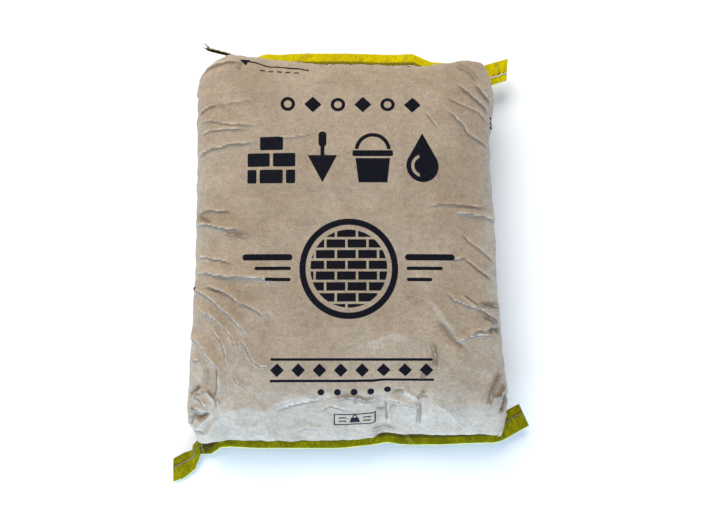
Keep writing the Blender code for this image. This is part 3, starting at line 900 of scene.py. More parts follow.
def make_sack():
    rows, across, along, body = sack_rows()
    count = len(across)
    rows = settled(rows, body)
    rows, crest, foot = shape_paper(rows, across, along, body)
    rows[:, -1] = rows[:, 0]
    sack = grid_piece("printed_paper_sack", count, len(rows))
    set_uv(sack, np.tile(across, len(rows)), np.repeat(along, count))
    put_vertices(sack, rows.reshape(-1, 3))
    store_value(sack, "crease", crest)
    store_value(sack, "foot", foot)
    close_tube(sack)
    bpy.ops.object.shade_smooth_by_angle(angle=SHARP_BEND)
    return sack


# Materials.


class Wiring:
    """Places nodes in a tree and links them."""

    def __init__(self, tree):
        self.tree = tree

    def add(self, kind, settings=None, **inputs):
        """A node of this kind. Inputs are named or numbered, as in i0, and hold a value or a socket."""
        node = self.tree.nodes.new(kind)
        for name, value in (settings or {}).items():
            setattr(node, name, value)
        for name, value in inputs.items():
            numbered = name[0] == "i" and name[1:].isdigit()
            socket = node.inputs[int(name[1:]) if numbered else name.replace("_", " ")]
            if isinstance(value, bpy.types.NodeSocket):
                self.tree.links.new(value, socket)
            else:
                socket.default_value = value
        return node

    def math(self, operation, *values):
        inputs = {f"i{index}": value for index, value in enumerate(values)}
        return self.add("ShaderNodeMath", {"operation": operation}, **inputs).outputs[0]

    def attribute(self, name):
        """The number that each vertex keeps under this name."""
        return self.add("ShaderNodeAttribute", {"attribute_name": name}).outputs["Fac"]

    def distance(self, value, centre):
        return self.math("ABSOLUTE", self.math("SUBTRACT", value, centre))

    def mix(self, share, first, second, kind="MIX"):
        """A mix of two colours."""
        settings = {"data_type": "RGBA", "blend_type": kind}
        node = self.add("ShaderNodeMix", settings, i0=share, i6=first, i7=second)
        return node.outputs[2]

    def lay(self, base, colour, mask, most):
        """The base with a colour over it, which covers this much of it where the mask is 1."""
        return self.mix(self.math("MULTIPLY", mask, most), base, colour)

    def feed(self, shader, **inputs):
        """Links values that change over the surface to the shader."""
        for name, value in inputs.items():
            self.tree.links.new(value, shader.inputs[name.replace("_", " ")])

    def spread(self, value, low, high, to_low=0.0, to_high=1.0):
        """The value from low to high, spread smoothly from to_low to to_high."""
        settings = {"interpolation_type": "SMOOTHSTEP"}
        node = self.add(
            "ShaderNodeMapRange", settings, i0=value, i1=low, i2=high, i3=to_low, i4=to_high
        )
        return node.outputs[0]

    def noise(self, vector, scale, detail=2.0, roughness=0.5, stretch=(1, 1, 1), distortion=0.0):
        if stretch != (1, 1, 1):
            vector = self.add("ShaderNodeMapping", None, Vector=vector, Scale=stretch).outputs[0]
        node = self.add(
            "ShaderNodeTexNoise", None, Vector=vector, Scale=scale, Detail=detail,
            Roughness=roughness, Distortion=distortion,
        )
        return node.outputs["Fac"]

    def bump(self, height, distance, normal=None):
        node = self.add("ShaderNodeBump", None, Height=height, Distance=distance, Strength=1.0)
        if normal is not None:
            self.tree.links.new(normal, node.inputs["Normal"])
        return node.outputs["Normal"]


def new_material(name):
    """An empty material: its wiring, and its Principled shader already on the output."""
    material = bpy.data.materials.new(name)
    material.use_nodes = True
    tree = material.node_tree
    shader = tree.nodes["Principled BSDF"]
    return material, Wiring(tree), shader


class Shapes:
    """Flat printed shapes in millimetres, each as a distance to its edge, negative inside it."""

    def __init__(self, wires, x, y):
        self.wires = wires
        self.x = x
        self.y = y

    def moved(self, centre, degrees=0.0):
        """The place counted from a centre, turned."""
        math_node = self.wires.math
        x = math_node("SUBTRACT", self.x, centre[0])
        y = math_node("SUBTRACT", self.y, centre[1])
        if not degrees:
            return x, y
        cosine, sine = math.cos(math.radians(degrees)), math.sin(math.radians(degrees))
        turned_x = math_node("MULTIPLY_ADD", x, cosine, math_node("MULTIPLY", y, sine))
        turned_y = math_node("MULTIPLY_ADD", y, cosine, math_node("MULTIPLY", x, -sine))
        return turned_x, turned_y

    def length(self, x, y):
        math_node = self.wires.math
        return math_node("SQRT", math_node("MULTIPLY_ADD", x, x, math_node("MULTIPLY", y, y)))

    def disc(self, centre, radius):
        return self.wires.math("SUBTRACT", self.length(*self.moved(centre)), radius)

    def box(self, centre, half, corner=1.0, degrees=0.0):
        math_node = self.wires.math
        sides = [
            math_node("SUBTRACT", math_node("ABSOLUTE", value), reach - corner)
            for value, reach in zip(self.moved(centre, degrees), half)
        ]
        outside = self.length(*(math_node("MAXIMUM", side, 0.0) for side in sides))
        inside = math_node("MINIMUM", math_node("MAXIMUM", *sides), 0.0)
        return math_node("ADD", math_node("SUBTRACT", outside, corner), inside)

    def bar(self, start, end, half):
        """A straight stroke with round ends."""
        reach_x, reach_y = end[0] - start[0], end[1] - start[1]
        centre = ((start[0] + end[0]) / 2, (start[1] + end[1]) / 2)
        angle = math.degrees(math.atan2(reach_y, reach_x))
        size = (math.hypot(reach_x, reach_y) / 2 + half, half)
        return self.box(centre, size, half, angle)

    def polygon(self, *corners):
        """A convex outline, its corners counted anticlockwise."""
        found = None
        for (x1, y1), (x2, y2) in zip(corners, corners[1:] + corners[:1]):
            side = math.hypot(x2 - x1, y2 - y1)
            out_x, out_y = (y2 - y1) / side, (x1 - x2) / side
            constant = -(x1 * out_x + y1 * out_y)
            along = self.wires.math("MULTIPLY_ADD", self.x, out_x, constant)
            distance = self.wires.math("MULTIPLY_ADD", self.y, out_y, along)
            found = distance if found is None else self.wires.math("MAXIMUM", found, distance)
        return found

    def ring(self, centre, outer, inner):
        return self.without(self.disc(centre, outer), self.disc(centre, inner))

    def joined(self, *shapes):
        found = shapes[0]
        for shape in shapes[1:]:
            found = self.wires.math("MINIMUM", found, shape)
        return found

    def without(self, shape, hole):
        return self.wires.math("MAXIMUM", shape, self.wires.math("MULTIPLY", hole, -1.0))

    def within(self, shape, window):
        return self.wires.math("MAXIMUM", shape, window)


def opening_arrow(shapes):
    """A plain arrow towards the end that is torn open, over a row of stitches."""
    marks = [
        shapes.bar((-104, 232.5), (-50, 231.5), 1.3),
        shapes.bar((-128, 237), (-104, 232.5), 1.3),
        shapes.polygon((-141, 242), (-131.5, 230.5), (-126, 241.5)),
    ]
    marks += [shapes.bar((x, 224), (x + 5, 224), 1.0) for x in (-112, -101, -90, -79, -68)]
    return marks


def small_marks(shapes):
    """The upper row: rings and diamonds in turn."""
    marks = []
    for index in range(6):
        centre = (-76 + 32.5 * index, 178)
        marks.append(shapes.box(centre, (8, 8), 1.5, 45) if index % 2 else shapes.ring(centre, 9.5, 5))
    return marks


def bold_pictures(shapes):
    """Bricks, a trowel, a bucket and a drop of water, a hand's breadth high."""
    left, second, third, right = (-97, -31, 35, 101)
    bricks = [
        shapes.box((left, 124), (15, 9), 2),
        shapes.box((left - 16.5, 102), (14.5, 9), 2),
        shapes.box((left + 16.5, 102), (14.5, 9), 2),
        shapes.box((left - 33 + 8, 80), (6, 9), 2),
        shapes.box((left, 80), (15, 9), 2),
        shapes.box((left + 33 - 8, 80), (6, 9), 2),
    ]
    trowel = [
        shapes.polygon((second, 72), (second + 19, 108), (second - 19, 108)),
        shapes.bar((second, 106), (second, 120), 2.6),
        shapes.bar((second, 124), (second, 135), 5.2),
    ]
    arc = shapes.within(
        shapes.ring((third, 114), 24, 19), shapes.wires.math("SUBTRACT", 116.0, shapes.y)
    )
    bucket = [
        shapes.polygon((third - 19, 72), (third + 19, 72), (third + 23, 104), (third - 23, 104)),
        shapes.box((third, 110.5), (27, 4), 2),
        arc,
    ]
    drop = shapes.joined(
        shapes.disc((right, 94), 21.5),
        shapes.polygon((right, 138), (right - 19, 103.5), (right + 19, 103.5)),
    )
    glint = shapes.within(
        shapes.ring((right, 94), 15, 11), shapes.wires.math("SUBTRACT", shapes.x, right - 4.0)
    )
    return [*bricks, *trowel, *bucket, shapes.without(drop, glint)]


def brick_wheel(shapes):
    """The middle: a ring round a wall in running bond, between short stripes."""
    wires = shapes.wires
    middle = (3, -38)
    flat = wires.add("ShaderNodeCombineXYZ", None, X=shapes.x, Y=shapes.y).outputs[0]
    wall = wires.add(
        "ShaderNodeTexBrick", None, Vector=flat, Color1=(0, 0, 0, 1), Color2=(0, 0, 0, 1),
        Mortar=(1, 1, 1, 1), Scale=1.0, Mortar_Size=1.5, Mortar_Smooth=0.0, Brick_Width=27.0,
        Row_Height=13.5,
    ).outputs["Fac"]
    bricks = wires.math("SUBTRACT", wires.math("MULTIPLY", wall, 2.0), 1.0)
    marks = [
        shapes.ring(middle, 63, 55),
        shapes.within(shapes.disc(middle, 49), bricks),
    ]
    for side in (-1, 1):
        for height, reach, half in ((-24, 132, 4), (-38, 118, 2.2), (-52, 104, 2.2)):
            start = (middle[0] + side * 76, height)
            marks.append(shapes.bar(start, (middle[0] + side * reach, height), half))
    return marks


def lower_bands(shapes):
    """The two lower rows: diamonds between two lines, and a row of dots."""
    marks = [shapes.bar((-92, y), (104, y), 1.6) for y in (-150, -176)]
    marks += [shapes.box((-85 + 26 * index, -163), (6, 6), 1, 45) for index in range(8)]
    marks += [shapes.disc((-31 + 20 * index, -190), 4.2) for index in range(5)]
    return marks


def weight_frame(shapes):
    """A thin frame round a plain scale weight."""
    frame_mark = shapes.without(
        shapes.box((10, -232), (26, 8.6), 1), shapes.box((10, -232), (24.4, 7), 0.6)
    )
    weight = [
        shapes.polygon((3.5, -237), (16.5, -237), (14.5, -229.5), (5.5, -229.5)),
        shapes.ring((10, -228), 3, 1.6),
    ]
    lines = [
        shapes.bar((10 + side * 11, y), (10 + side * 19, y), 0.9)
        for side in (-1, 1)
        for y in (-229.5, -234.5)
    ]
    return [frame_mark, *weight, *lines]


def side_marks(shapes):
    """Short bars where print runs onto the side walls."""
    left = shapes.bar((-220, -61), (-200, -61), 3)
    return [left, *(shapes.bar((199, y), (219, y), 2.2) for y in (152.5, 159, 165.5))]


RAGGED_SCALE = 1100.0  # of the noise that frays the edges of the print
RAGGED_DEPTH = 0.5  # in millimetres
INK_EDGE = 0.22  # half the width over which the ink gives out, in millimetres


def print_group():
    """A node group that puts out where the plain print lies on the sheet."""
    group = bpy.data.node_groups.new("Plain print", "ShaderNodeTree")
    group.interface.new_socket("Sheet", in_out="INPUT", socket_type="NodeSocketVector")
    group.interface.new_socket("Ink", in_out="OUTPUT", socket_type="NodeSocketFloat")
    wires = Wiring(group)
    sheet = wires.add("NodeGroupInput").outputs[0]
    split = wires.add("ShaderNodeSeparateXYZ", None, i0=sheet)
    x, y = (wires.math("MULTIPLY", split.outputs[index], 1000.0) for index in (0, 1))
    shapes = Shapes(wires, x, y)
    marks = [
        *opening_arrow(shapes), *small_marks(shapes), *bold_pictures(shapes),
        *brick_wheel(shapes), *lower_bands(shapes), *weight_frame(shapes), *side_marks(shapes),
    ]
    centred = wires.math("SUBTRACT", wires.noise(sheet, RAGGED_SCALE, 1.0), 0.5)
    ragged = wires.math("MULTIPLY", centred, RAGGED_DEPTH)
    distance = wires.math("ADD", shapes.joined(*marks), ragged)
    wires.add("NodeGroupOutput", None, Ink=wires.spread(distance, INK_EDGE, -INK_EDGE))
    return group


FIBRE_SHARE = 0.30  # how far the fibres, and below each mottling, change the paper's tone
# Each mottling of the paper as the scale, detail and roughness of its noise, and its share.
MOTTLING = ((420.0, 3.0, 0.7, 1.05), (130.0, 3.0, 0.6, 0.48), (34.0, 2.0, 0.5, 0.26))
TONE_SHIFT = -0.045
# How far the crests take their colour of wear and painted highlight.
WORN_AND_HIGHLIGHT_SHARE = 0.80
# How far the feet of the folds take their painted shade.
FOLD_SHADE_SHARE = 0.84
FIBRE_RELIEF = 0.00028
BUCKLE_RELIEF = 0.0012


def kraft_material(settings):
    material, wires, shader = new_material("Kraft paper, printed")
    place = wires.add("ShaderNodeTexCoord").outputs["Object"]
    sheet = wires.add("ShaderNodeUVMap").outputs[0]
    crease, foot = wires.attribute("crease"), wires.attribute("foot")
    blotch = wires.noise(place, 9.0, 3.0, 0.6)
    fibre = wires.noise(place, 260.0, 3.0, 0.65, stretch=(0.4, 1.0, 1.0))
    base = wires.mix(wires.spread(blotch, 0.3, 0.7), settings.paper_dark, settings.paper_light)
    tone = wires.math("MULTIPLY_ADD", fibre, FIBRE_SHARE, TONE_SHIFT)
    for scale, detail, roughness, share in MOTTLING:
        tone = wires.math("MULTIPLY_ADD", wires.noise(place, scale, detail, roughness), share, tone)
    grey = wires.add("ShaderNodeCombineColor", None, i0=tone, i1=tone, i2=tone).outputs[0]
    base = wires.mix(1.0, base, grey, "MULTIPLY")
    broken = wires.spread(wires.noise(place, 160.0, 2.0), 0.34, 0.62, 0.35, 1.0)
    # The crests of the creases: wear, and partly painted highlight.
    painted_light_and_wear = wires.math("MULTIPLY", crease, broken)
    base = wires.lay(base, settings.paper_worn_and_highlight, painted_light_and_wear, WORN_AND_HIGHLIGHT_SHARE)
    # The feet of the folds and the valleys: painted shade.
    base = wires.lay(base, settings.paper_fold_shade, foot, FOLD_SHADE_SHARE)
    ink = wires.add("ShaderNodeGroup", {"node_tree": print_group()}, Sheet=sheet).outputs[0]
    patchy = wires.spread(wires.noise(place, 500.0, 2.0), 0.26, 0.36, 0.93, 1.0)
    cracked = wires.spread(crease, 1.0, 0.5, 0.62, 1.0)
    ink = wires.math("MULTIPLY", wires.math("MULTIPLY", ink, patchy), cracked)
    base = wires.mix(ink, base, settings.ink)
    rough = wires.math("MULTIPLY_ADD", blotch, 0.12, 0.50)
    rough = wires.math("MULTIPLY_ADD", ink, 0.16, rough)
    buckles = wires.noise(place, 48.0, 4.0, 0.6, distortion=0.5)
    normal = wires.bump(buckles, BUCKLE_RELIEF, wires.bump(fibre, FIBRE_RELIEF))
    wires.feed(shader, Base_Color=base, Roughness=rough, Normal=normal)
    shader.inputs["Specular IOR Level"].default_value = 0.10
    return material


# A dark stretch of each tape, painted shade with dirt: its middle, half its length, and how strong it is.
BOTTOM_SHADE_AND_DIRT = (-0.193, 0.005, 0.75)
TOP_SHADE_AND_DIRT = (-0.196, 0.038, 0.85)
# How far the sack's paper hides each tape, from its inner edge.
BOTTOM_COVERED = 0.0205
TOP_COVERED = 0.0160
# Where each mark on a tape fades out and where it is full: the painted shadow beside the paper along the
# tape, the painted shade of the needle holes along the stitches from their middle, and the wear and
# painted highlight along the fold from its own.
PAPER_SHADOW_REACH = (0.197, 0.190)
STITCH_SHADE_REACH = (0.0022, 0.0006)
FOLD_WEAR_AND_HIGHLIGHT_REACH = (0.0011, 0.0005)
STITCH_SHADE_PLACE = STITCH_TO_INNER_EDGE + 0.0006  # across the tape, from its inner edge
FOLD_PLACE = TAPE_WIDTH + 0.0002
SHADE_AND_DIRT_EDGE = 0.008  # how far a dark stretch of painted shade and dirt takes to fade,
PAPER_SHADOW_EDGE = 0.0022  # and the painted shadow beside the paper, across the tape
SPECK_COLOUR = (0.05, 0.04, 0.005, 1)
# The painted shade in the needle holes along the stitches.
STITCH_SHADE_COLOUR = (0.07, 0.035, 0.012, 1)
# The painted shade in the tape's creases.
FOLD_SHADE_COLOUR = (0.035, 0.028, 0.004, 1)
CRINKLE_RELIEF = 0.0007
FUZZ_RELIEF = 0.0002  # of a thread


def crepe_material(settings, light, dark, valley, shade_and_dirt, covered):
    material, wires, shader = new_material("Yellow crepe paper")
    strip = wires.add("ShaderNodeUVMap").outputs[0]
    place = wires.add("ShaderNodeTexCoord").outputs["Object"]
    crest, foot = wires.attribute("crease"), wires.attribute("foot")
    split = wires.add("ShaderNodeSeparateXYZ", None, i0=strip)
    u, v = split.outputs[0], split.outputs[1]
    crinkle = wires.noise(strip, 900.0, 2.0, 0.6, stretch=(1.0, 0.16, 1.0))
    patch = wires.noise(place, 60.0, 3.0, 0.6)
    speck = wires.spread(wires.noise(place, 900.0, 1.0), 0.63, 0.70)
    base = wires.mix(wires.spread(patch, 0.32, 0.68), dark, light)
    # The valleys between the crinkles are darkened with painted shade; the same colour also darkens random
    # blots.
    base = wires.mix(wires.spread(crinkle, 0.62, 0.34, 0.0, 0.75), base, valley)
    blot = wires.noise(strip, 190.0, 3.0, 0.65, stretch=(1.0, 0.7, 1.0))
    base = wires.mix(wires.spread(blot, 0.44, 0.30, 0.0, 0.6), base, valley)
    middle, half, shade_and_dirt_share = shade_and_dirt
    shaded_and_dirty = wires.spread(wires.distance(u, middle), half + SHADE_AND_DIRT_EDGE, half)
    beside = wires.spread(v, covered + PAPER_SHADOW_EDGE, covered)
    paper_shadow = wires.math("MULTIPLY", beside, wires.spread(wires.math("ABSOLUTE", u), *PAPER_SHADOW_REACH))
    holes = wires.spread(wires.noise(strip, 260.0, 1.0, stretch=(1.0, 0.0, 1.0)), 0.42, 0.56)
    stitch_shade = wires.spread(wires.distance(v, STITCH_SHADE_PLACE), *STITCH_SHADE_REACH)
    fold = wires.spread(wires.distance(v, FOLD_PLACE), *FOLD_WEAR_AND_HIGHLIGHT_REACH)
    coats = (
        (SPECK_COLOUR, speck, 0.7),
        # Dark stretches: painted shade with dirt.
        (settings.tape_dirt_and_shade, shaded_and_dirty, shade_and_dirt_share),
        # Painted shadow of the paper's edge on the tape.
        (settings.tape_dirt_and_shade, paper_shadow, 0.75),
        # Painted shade in the needle holes along the stitches.
        (STITCH_SHADE_COLOUR, wires.math("MULTIPLY", stitch_shade, holes), 0.75),
        # Painted shade at the feet of the tape's creases.
        (FOLD_SHADE_COLOUR, foot, 0.70),
        # Wear and painted highlight, on the crests of the creases and along the fold.
        (settings.tape_worn_and_highlight, crest, 0.35),
        (settings.tape_worn_and_highlight, fold, 0.7),
    )
    for colour, mask, most in coats:
        base = wires.lay(base, colour, mask, most)
    rough = wires.spread(patch, 0.2, 0.8, 0.55, 0.75)
    normal = wires.bump(crinkle, CRINKLE_RELIEF)
    wires.feed(shader, Base_Color=base, Roughness=rough, Normal=normal)
    shader.inputs["Specular IOR Level"].default_value = 0.02
    return material


def thread_material(light, dark):
    material, wires, shader = new_material("Twisted sewing thread")
    place = wires.add("ShaderNodeTexCoord").outputs["Object"]
    fuzz = wires.noise(place, 1800.0, 2.0)
    base = wires.mix(wires.spread(fuzz, 0.3, 0.7), dark, light)
    rough = wires.spread(fuzz, 0.2, 0.8, 0.6, 0.8)
    wires.feed(shader, Base_Color=base, Roughness=rough, Normal=wires.bump(fuzz, FUZZ_RELIEF))
    return material


# Tape and thread.

# Each tail of tape past a corner of the sack, as lines across it: the inner edge's place and the
# fold's, in millimetres, and the gap between the two leaves.
TAIL_LINES = {
    ("bottom", -1): (
        ((-197, -254, 15), (-194.6, -274, 9.5), 1.5), ((-203.5, -260.5, 14), (-196, -280, 8.5), 1.2),
        ((-204.5, -267, 12), (-198.5, -286, 7.5), 1.0), ((-209, -269, 11), (-200.9, -292, 6), 0.7),
        ((-217, -271.5, 10), (-215, -304, 4), 0.7), ((-230, -278.5, 8), (-230, -309, 3.5), 0.7),
    ),
    ("bottom", 1): (
        ((203, -224, 19), (206, -255.5, 14), 1.2), ((212, -216, 20), (224, -245.5, 16), 0.7),
        ((229, -207, 21), (242, -235.5, 18), 0.7),
    ),
    ("top", -1): (
        ((-198.5, 286, 50), (-198, 296, 22), 3.5), ((-203, 289.5, 49), (-203, 299, 21), 5.0),
    ),
    ("top", 1): (
        ((203, 236, 30), (197, 266.5, 33), 1.2), ((214, 239, 33), (212, 270.5, 34), 0.7),
        ((227, 243, 34), (230, 275.5, 34), 0.7),
    ),
}
STATION_SPACING = 0.0018
LEAF_COLUMNS = 12
FOLD_COLUMNS = 5
PAPER_GAP = FLAP_THICKNESS + 2 * TAPE_CLEARANCE
PRESSED_SHARE = 0.6
TAPE_PRESSING = 0.0002  # as far as a leaf moves towards the paper inside it


def tail_stations(name, seam, end):
    """Stations along one tail, from the sack's corner outwards."""
    start, outward, _ = seam_frame(seam, end * SEAM_WIDTH / 2)
    inner = start - outward * STITCH_TO_INNER_EDGE
    fold = start + outward * STITCH_TO_FOLD
    gap = PAPER_GAP
    stations = []
    for next_inner, next_fold, next_gap in TAIL_LINES[name, end]:
        next_inner, next_fold = Vector(next_inner) / 1000, Vector(next_fold) / 1000
        next_gap /= 1000
        way = (next_inner + next_fold - inner - fold) / 2
        parts = max(2, round(way.length / STATION_SPACING))
        for part in range(1, parts + 1):
            share = part / parts
            edge = inner.lerp(next_inner, share)
            across = fold.lerp(next_fold, share) - edge
            normal = (way.cross(across) * end * seam["side"]).normalized()
            across = across / TAPE_WIDTH
            stitched = edge + across * STITCH_TO_INNER_EDGE
            stations.append((stitched, across, normal, gap + (next_gap - gap) * share))
        inner, fold, gap = next_inner, next_fold, next_gap
    return stations


def tape_stations(name, seam):
    """The whole tape from its left tail to its right one, as (stitched point, way to the fold,
    upward normal, gap between the leaves).
    """
    count = round(SEAM_WIDTH / STATION_SPACING)
    middle = []
    for index in range(count + 1):
        x = SEAM_WIDTH * (index / count - 0.5)
        middle.append((*seam_frame(seam, x), PAPER_GAP))
    return tail_stations(name, seam, -1)[::-1] + middle + tail_stations(name, seam, 1)


def tape_section(gap):
    """The folded tape's middle line in its own plane, as (way to the fold, height) pairs."""
    radius = (min(gap, PAPER_GAP) + TAPE_THICKNESS) / 2
    straight = STITCH_TO_FOLD - radius - TAPE_THICKNESS / 2
    reaches = np.linspace(-STITCH_TO_INNER_EDGE, straight, LEAF_COLUMNS)
    opening = (gap + TAPE_THICKNESS) / 2 - radius
    upper = [(reach, radius + opening * (straight - reach) / TAPE_WIDTH) for reach in reaches]
    angles = np.linspace(math.pi / 2, -math.pi / 2, FOLD_COLUMNS + 2)[1:-1]
    fold = [(straight + radius * math.cos(a), radius * math.sin(a)) for a in angles]
    return np.array(upper + fold + [(reach, -height) for reach, height in reversed(upper)])


# Creases pressed across each tape, as height and reach, both in millimetres, and the places that
# they run through, as distance along the tape from its middle and across it from its inner edge.
TAPE_CREASES = {
    "bottom": (
        (1.2, 5, ((-172, 15), (-170, 31))), (-1.4, 5, ((-184, 8), (-181, 31))),
        (1.6, 4, ((-199, 0), (-196, 18), (-192, 31))), (-0.8, 3, ((-160, 18), (-157, 27))),
        (-1.6, 4, ((49, 10), (46, 24))), (2.4, 8, ((77, 14), (92, 31))), (-1.6, 3, ((70, 16), (84, 31))),
        (0.7, 3, ((161, 15), (163, 31))), (0.8, 4, ((203, 8), (207, 31))), (-0.5, 5, ((10, 18), (24, 28))),
        (0.4, 4, ((-96, 17), (-88, 31))), (-0.5, 4, ((120, 18), (134, 26))),
    ),
    "top": (
        (1.0, 4, ((-71, 16), (-50, 31))), (0.6, 3, ((-92, 20), (-84, 31))), (-0.9, 4, ((18, 15), (24, 25))),
        (-0.8, 4, ((54, 14), (58, 24))), (0.7, 4, ((80, 16), (86, 31))), (0.5, 4, ((-20, 18), (-8, 31))),
        (0.9, 3, ((214, 4), (220, 14), (217, 31))), (-0.6, 4, ((203, 10), (206, 31))),
    ),
}


def press_tape(name, along, across, shape):
    """The creases of one tape. Both leaves share them."""
    creases = Creases(shape)
    sheet = np.stack(np.meshgrid(np.minimum(across, across[-1] - across), along), axis=-1)[..., ::-1]
    for height, reach, route in TAPE_CREASES[name]:
        route = np.array(route, float) / 1000
        creases.press(EVERYWHERE, sheet, route, height / 1000, reach / 1000, reach / 1000)
    return creases


TAPE_WRINKLES = ((0.00035, 0.012, 8), (0.0002, 0.004, 9))  # as height, size and seed


def make_tape(name, seam, material):
    stations = tape_stations(name, seam)
    sections = [tape_section(gap) for _, _, _, gap in stations]
    count = len(sections[0])
    piece = grid_piece(f"{name}_crepe_tape", count, len(stations))
    rows = []
    for (start, outward, upward, _), section in zip(stations, sections):
        rows.append([start + outward * reach + upward * height for reach, height in section])
    points = np.array(rows)
    steps = np.linalg.norm(np.diff([s[0] for s in stations], axis=0), axis=1)
    along = np.concatenate(([0], np.cumsum(steps)))
    across = np.concatenate(([0], np.cumsum(np.linalg.norm(np.diff(sections[0], axis=0), axis=1))))
    along -= np.interp(0.0, points[:, 0, 0], along)
    creases = press_tape(name, along, across, points.shape[:2])
    upward = np.array([station[2] for station in stations])[:, None]
    pressed = creases.height * PRESSED_SHARE
    over_paper = (np.abs(along) < PAPER_REACH[seam["side"], -1] + CORNER_CLEARANCE)[:, None]
    upper = np.arange(count) < count / 2
    kept = np.where(upper, np.maximum(pressed, -TAPE_PRESSING), np.minimum(pressed, TAPE_PRESSING))
    pressed = np.where(over_paper, kept, pressed)
    points += upward * pressed[..., None]
    set_uv(piece, np.repeat(along, count), np.tile(across, len(stations)))
    put_vertices(piece, points.reshape(-1, 3))
    store_value(piece, "crease", creases.crest)
    store_value(piece, "foot", creases.foot)
    normals = normal_array(piece)
    flat = vertex_array(piece)
    wrinkle = sum(height * noise_field(flat, *field) for height, *field in TAPE_WRINKLES)
    put_vertices(piece, flat + normals * wrinkle[:, None])
    thicken = piece.modifiers.new("paper thickness", "SOLIDIFY")
    thicken.thickness = TAPE_THICKNESS
    thicken.offset = 0
    select_only(piece)
    bpy.ops.object.modifier_apply(modifier=thicken.name)
    bpy.ops.object.shade_smooth()
    piece.data.materials.append(material)
    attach(piece, "root")
    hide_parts(f"{name}_tape")
    return piece


STITCH_LENGTH = 0.0085
# The thickness of each thread, how far its stitches swing to the sides, and how far they lie
# inside the stitched line.
THREADS = {"bottom": (0.00042, 0.0004, 0.0), "top": (0.00065, 0.0012, 0.0015)}
THREAD_CLEARANCE = 0.0003  # between a thread and its tape
STITCH_LIFT = 0.5  # how far a stitch rises and falls, in radii of its thread
SLOW_SWAY = 0.4  # a second, slower swing, as a share of the first,
SLOW_PACE = 0.37  # and how fast it is beside it
SACK_SWAY = 0.4  # the share of both that is left along the sack, between the tails


def make_thread(name, seam, material):
    curve = bpy.data.curves.new(f"{name}_chain_stitch", "CURVE")
    curve.dimensions = "3D"
    radius, swing, inside = THREADS[name]
    curve.bevel_depth = radius
    curve.bevel_resolution = 2
    curve.use_fill_caps = True
    stations = tape_stations(name, seam)
    spline = curve.splines.new("POLY")
    spline.points.add(len(stations) - 1)
    travelled = 0.0
    previous = stations[0][0]
    for point, (start, outward, upward, gap) in zip(spline.points, stations):
        travelled += (start - previous).length
        previous = start
        phase = 2 * math.pi * travelled / STITCH_LENGTH
        lift = radius * (1 + STITCH_LIFT * math.cos(phase))
        height = gap / 2 + TAPE_THICKNESS + THREAD_CLEARANCE + lift
        sway = math.sin(phase) + SLOW_SWAY * math.sin(phase * SLOW_PACE)
        if abs(start.x) < SEAM_WIDTH / 2:
            sway *= SACK_SWAY
        point.co = (*(start + upward * height + outward * (swing * sway - inside)), 1)
    piece = bpy.data.objects.new(f"{name}_chain_stitch", curve)
    bpy.context.collection.objects.link(piece)
    select_only(piece)
    bpy.ops.object.convert(target="MESH")
    piece = bpy.context.object
    piece.data.materials.append(material)
    bpy.ops.object.shade_smooth()
    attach(piece, "root")
    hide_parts(f"{name}_seam_thread")
    return piece


# Settings, operators and the panel.


def colour_setting(name, description, default):
    return bpy.props.FloatVectorProperty(
        name=name, description=description, default=(*default, 1.0), size=4,
        subtype="COLOR", min=0.0, max=1.0,
    )


def power_setting(name, description, default):
    return bpy.props.FloatProperty(
        name=name, description=description, default=default, min=0.0, subtype="POWER", unit="POWER"
    )


class SackSettings(bpy.types.PropertyGroup):
    paper_light: colour_setting("Light paper", "Colour of the lighter kraft paper", (0.376, 0.301, 0.222))
    paper_dark: colour_setting("Dark paper", "Colour of the darker kraft paper", (0.315, 0.243, 0.172))
    # Along the crests: partly wear, partly painted highlight.
    paper_worn_and_highlight: colour_setting("Worn paper", "Colour along the crests of creases", (0.60, 0.525, 0.43))
    # Painted shade deep in a fold.
    paper_fold_shade: colour_setting("Folded paper", "Colour deep in a sharp fold", (0.130, 0.088, 0.056))
    ink: colour_setting("Ink", "Colour of the print", (0.0025, 0.003, 0.007))
    fill: bpy.props.FloatProperty(
        name="Fill", description="How tightly the sack is filled", default=0.8, min=0.0, max=1.0,
        subtype="FACTOR",
    )


class TapeSettings(bpy.types.PropertyGroup):
    top_light: colour_setting("Top tape, light", "Lighter colour of the top tape", (0.76, 0.63, 0.002))
    top_dark: colour_setting("Top tape, dark", "Darker colour of the top tape", (0.60, 0.49, 0.001))
    # The bottom tape's colours are the top tape's yellow, darkened with painted shade.
    bottom_light: colour_setting(
        "Bottom tape, light", "Lighter colour of the bottom tape", (0.32, 0.28, 0.002)
    )
    bottom_dark: colour_setting(
        "Bottom tape, dark", "Darker colour of the bottom tape", (0.18, 0.155, 0.001)
    )
    # Painted shade between the crinkles, also used for random blots.
    top_valley: colour_setting("Top tape, valleys", "Colour between its crinkles", (0.38, 0.29, 0.001))
    bottom_valley: colour_setting("Bottom tape, valleys", "Colour between its crinkles", (0.12, 0.09, 0.001))
    # Partly wear, partly painted highlight, along the fold and the crests.
    tape_worn_and_highlight: colour_setting("Worn tape", "Colour along the fold and the creases", (0.78, 0.76, 0.20))
    # Dirt, and also the painted shade of the dark stretches and beside the paper.
    tape_dirt_and_shade: colour_setting("Dirty tape", "Colour of dirt on the tape", (0.060, 0.045, 0.012))
    thread_light: colour_setting("Light thread", "Colour of the top thread's fibres", (0.84, 0.82, 0.80))
    thread_dark: colour_setting("Dark thread", "Colour between the top thread's fibres", (0.46, 0.43, 0.42))
    # The bottom thread's colours: painted shade with dirt.
    shaded_dirty_thread_light: colour_setting(
        "Worn thread", "Colour of the bottom thread's fibres", (0.30, 0.27, 0.20)
    )
    shaded_dirty_thread_dark: colour_setting("Worn thread, dark", "Colour between its fibres", (0.13, 0.11, 0.075))


